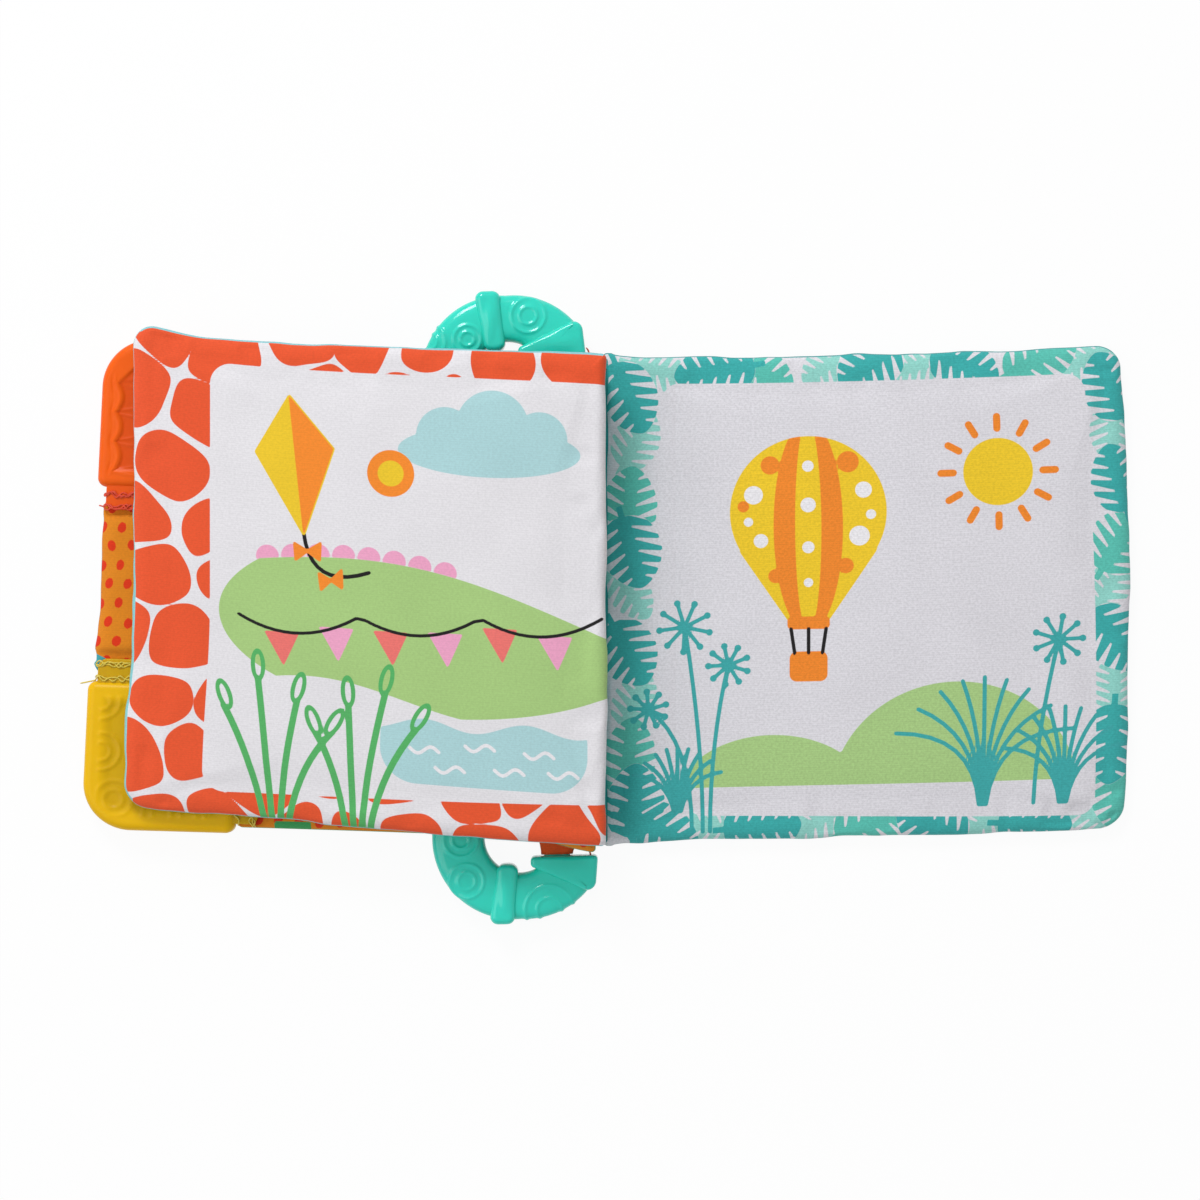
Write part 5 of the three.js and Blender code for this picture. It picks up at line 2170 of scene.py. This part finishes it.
def lamps() -> None:
    """A key lamp above the book's head and a larger fill at its left, both aimed at its middle."""
    for name, place, size, power in (  # m and W
            ("key", (-0.4, 0.95, 0.85), 0.4, 8.6), ("fill", (-0.8, -0.1, 0.75), 0.8, 2.4)):
        lamp = bpy.data.lights.new(name, "AREA")
        lamp.shape = "SQUARE"
        lamp.size = size
        lamp.energy = power
        made = linked(name, lamp)
        made.location = place
        back = made.location.normalized()
        made.rotation_euler = back.to_track_quat("Z", "Y").to_euler()


def camera() -> None:
    """A camera straight over the book, which shows 333.3 mm across at 2 mm over the table."""
    distance, level, shown = 1200.0, 2.0, 333.3
    aside = 1.4  # mm that the picture's middle lies to the left and up
    eye = bpy.data.cameras.new("camera")
    eye.sensor_width = 36
    eye.lens = eye.sensor_width * (distance - level) / shown
    holder = linked("camera", eye)
    holder.location = (-aside * MM, aside * MM, distance * MM)
    bpy.context.scene.camera = holder
    bpy.context.scene.view_settings.view_transform = "Standard"


# Satin moulded rubber: a dull broad highlight along the rims, and painted shade, a darker colour
# on the lowered plate, where light is lost.
ORANGE_RUBBER = Plastic("moulded_tpr_orange_satin", "#EF5F0A", 0.38, through=0.03, sunk="#DE4F08",
                        shine=0.18)
YELLOW_RUBBER = Plastic("moulded_tpr_yellow_satin", "#E8B600", 0.36, through=0.03, sunk="#B68F00",
                        shine=0.18)
FILM = Plastic("crinkle_film_clear_pet", "#D9DDE0", 0.25)  # grey, with sharp highlights


def build_pages(sizes: CornerSizes) -> None:
    """Build the three padded pages, and the teethers with their stitches.

    Args:
        sizes: Sizes of the moulded corners.
    """
    SquarePage(
        "back_cover_pad", "back_cover", BACK, (BalloonPage(), SprigPrint()),
        ("back_cover_inner_cloth", "back_cover_outer_cloth"), "leaf_print_cloth",
        spine_edge=-0.7, crowns=(PAD_CROWN, 0.0), seed=101,
        seam_shows=SeamShows("#2E9C9C", top=0.32, spine=1.2),
        upright_folds=((19.6, 0.12), (24.5, 0.07)), level_folds=((32.6, 0.06),),
        crumple=0.8).build()
    SquarePage(
        "leaf_pad", "leaf", LEAF, (MeadowPage(), AQUA_DOTS),
        ("leaf_front_cloth", "leaf_back_cloth"), "patch_print_cloth",
        spine_edge=-0.9, crowns=(PAD_CROWN, PAD_CROWN), seed=201,
        seam_shows=SeamShows("#84C8CE", 0.8, 0.2, 0.45, 0.2), ear=1.1).build()
    CoverPad(sizes).build()
    for name, end, relief, finish in (
            ("orange", 1, Relief.PETALS, ORANGE_RUBBER),
            ("yellow", -1, Relief.SWIRLS, YELLOW_RUBBER)):
        Teether(
            f"{name}_corner_teether", end, relief, finish, f"{name}_teether", sizes).build()
    for name, end, lap, strands, tail in (
            ("orange_thread_inner", 1, 2.1, 4, 0.0), ("orange_thread_outer", 1, 5.7, 3, 1.2),
            ("yellow_thread_inner", -1, 0.8, 2, 4.0), ("yellow_thread_outer", -1, 4.9, 3, 0.0)):
        colour, slot = ("#D8452A", "orange_teether") if end > 0 else ("#D9C24A", "yellow_teether")
        StitchRow(name, end, lap, strands, colour, 7 + 3 * strands, slot, sizes, tail).build()


def build_book() -> None:
    """Build every piece of the book in order."""
    sizes = CornerSizes()
    build_pages(sizes)
    handle = LoopHandle()
    handle.build()
    Sleeve(handle).build()
    for name, start, bend, end in (
            ("upper", (-5.5, 67.0, 5.2), (-3.6, 69.6, 6.0), (-5.2, 71.2, 6.4)),
            ("lower", (-6.5, -66.0, 5.0), (-3.0, -68.4, 6.0), (-4.4, -70.4, 6.4))):
        LooseThread(f"sleeve_thread_{name}", start, bend, end).build()
    Strip(
        "spine_cloth", "back_cover",
        ((-0.4, 2.2, 0.2), (1.65, 2.2, 0.2), (1.65, 3.0, 0.2), (0.4, 3.0, 0.4),
         (0.4, 15.65, 0.3), (-0.4, 15.65, 0.3)),
        65.5, Cloth("teal_polyester_knit", "#2F9E9C"), "teal_cloth", bow=-2.0).build()
    for name, page, notch in (
            ("back_cover", BACK, 0.0), ("leaf", LEAF, 0.0), ("front_cover", COVER, sizes.notch)):
        Filling(name, page, notch).build()
    film = FILM.material()
    for name in ("back_cover", "leaf", "front_cover"):
        node = next(
            o for o in bpy.data.objects if o.get("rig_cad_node") == f"{name}_crinkle_film")
        node.data.materials.clear()
        node.data.materials.append(film)


def main() -> None:
    """Build the book and its stage."""
    logging.basicConfig(level=logging.INFO, format="%(name)s: %(message)s")
    build_book()
    table()
    sky()
    lamps()
    camera()
    bpy.context.view_layer.update()


if __name__ == "__main__":
    main()
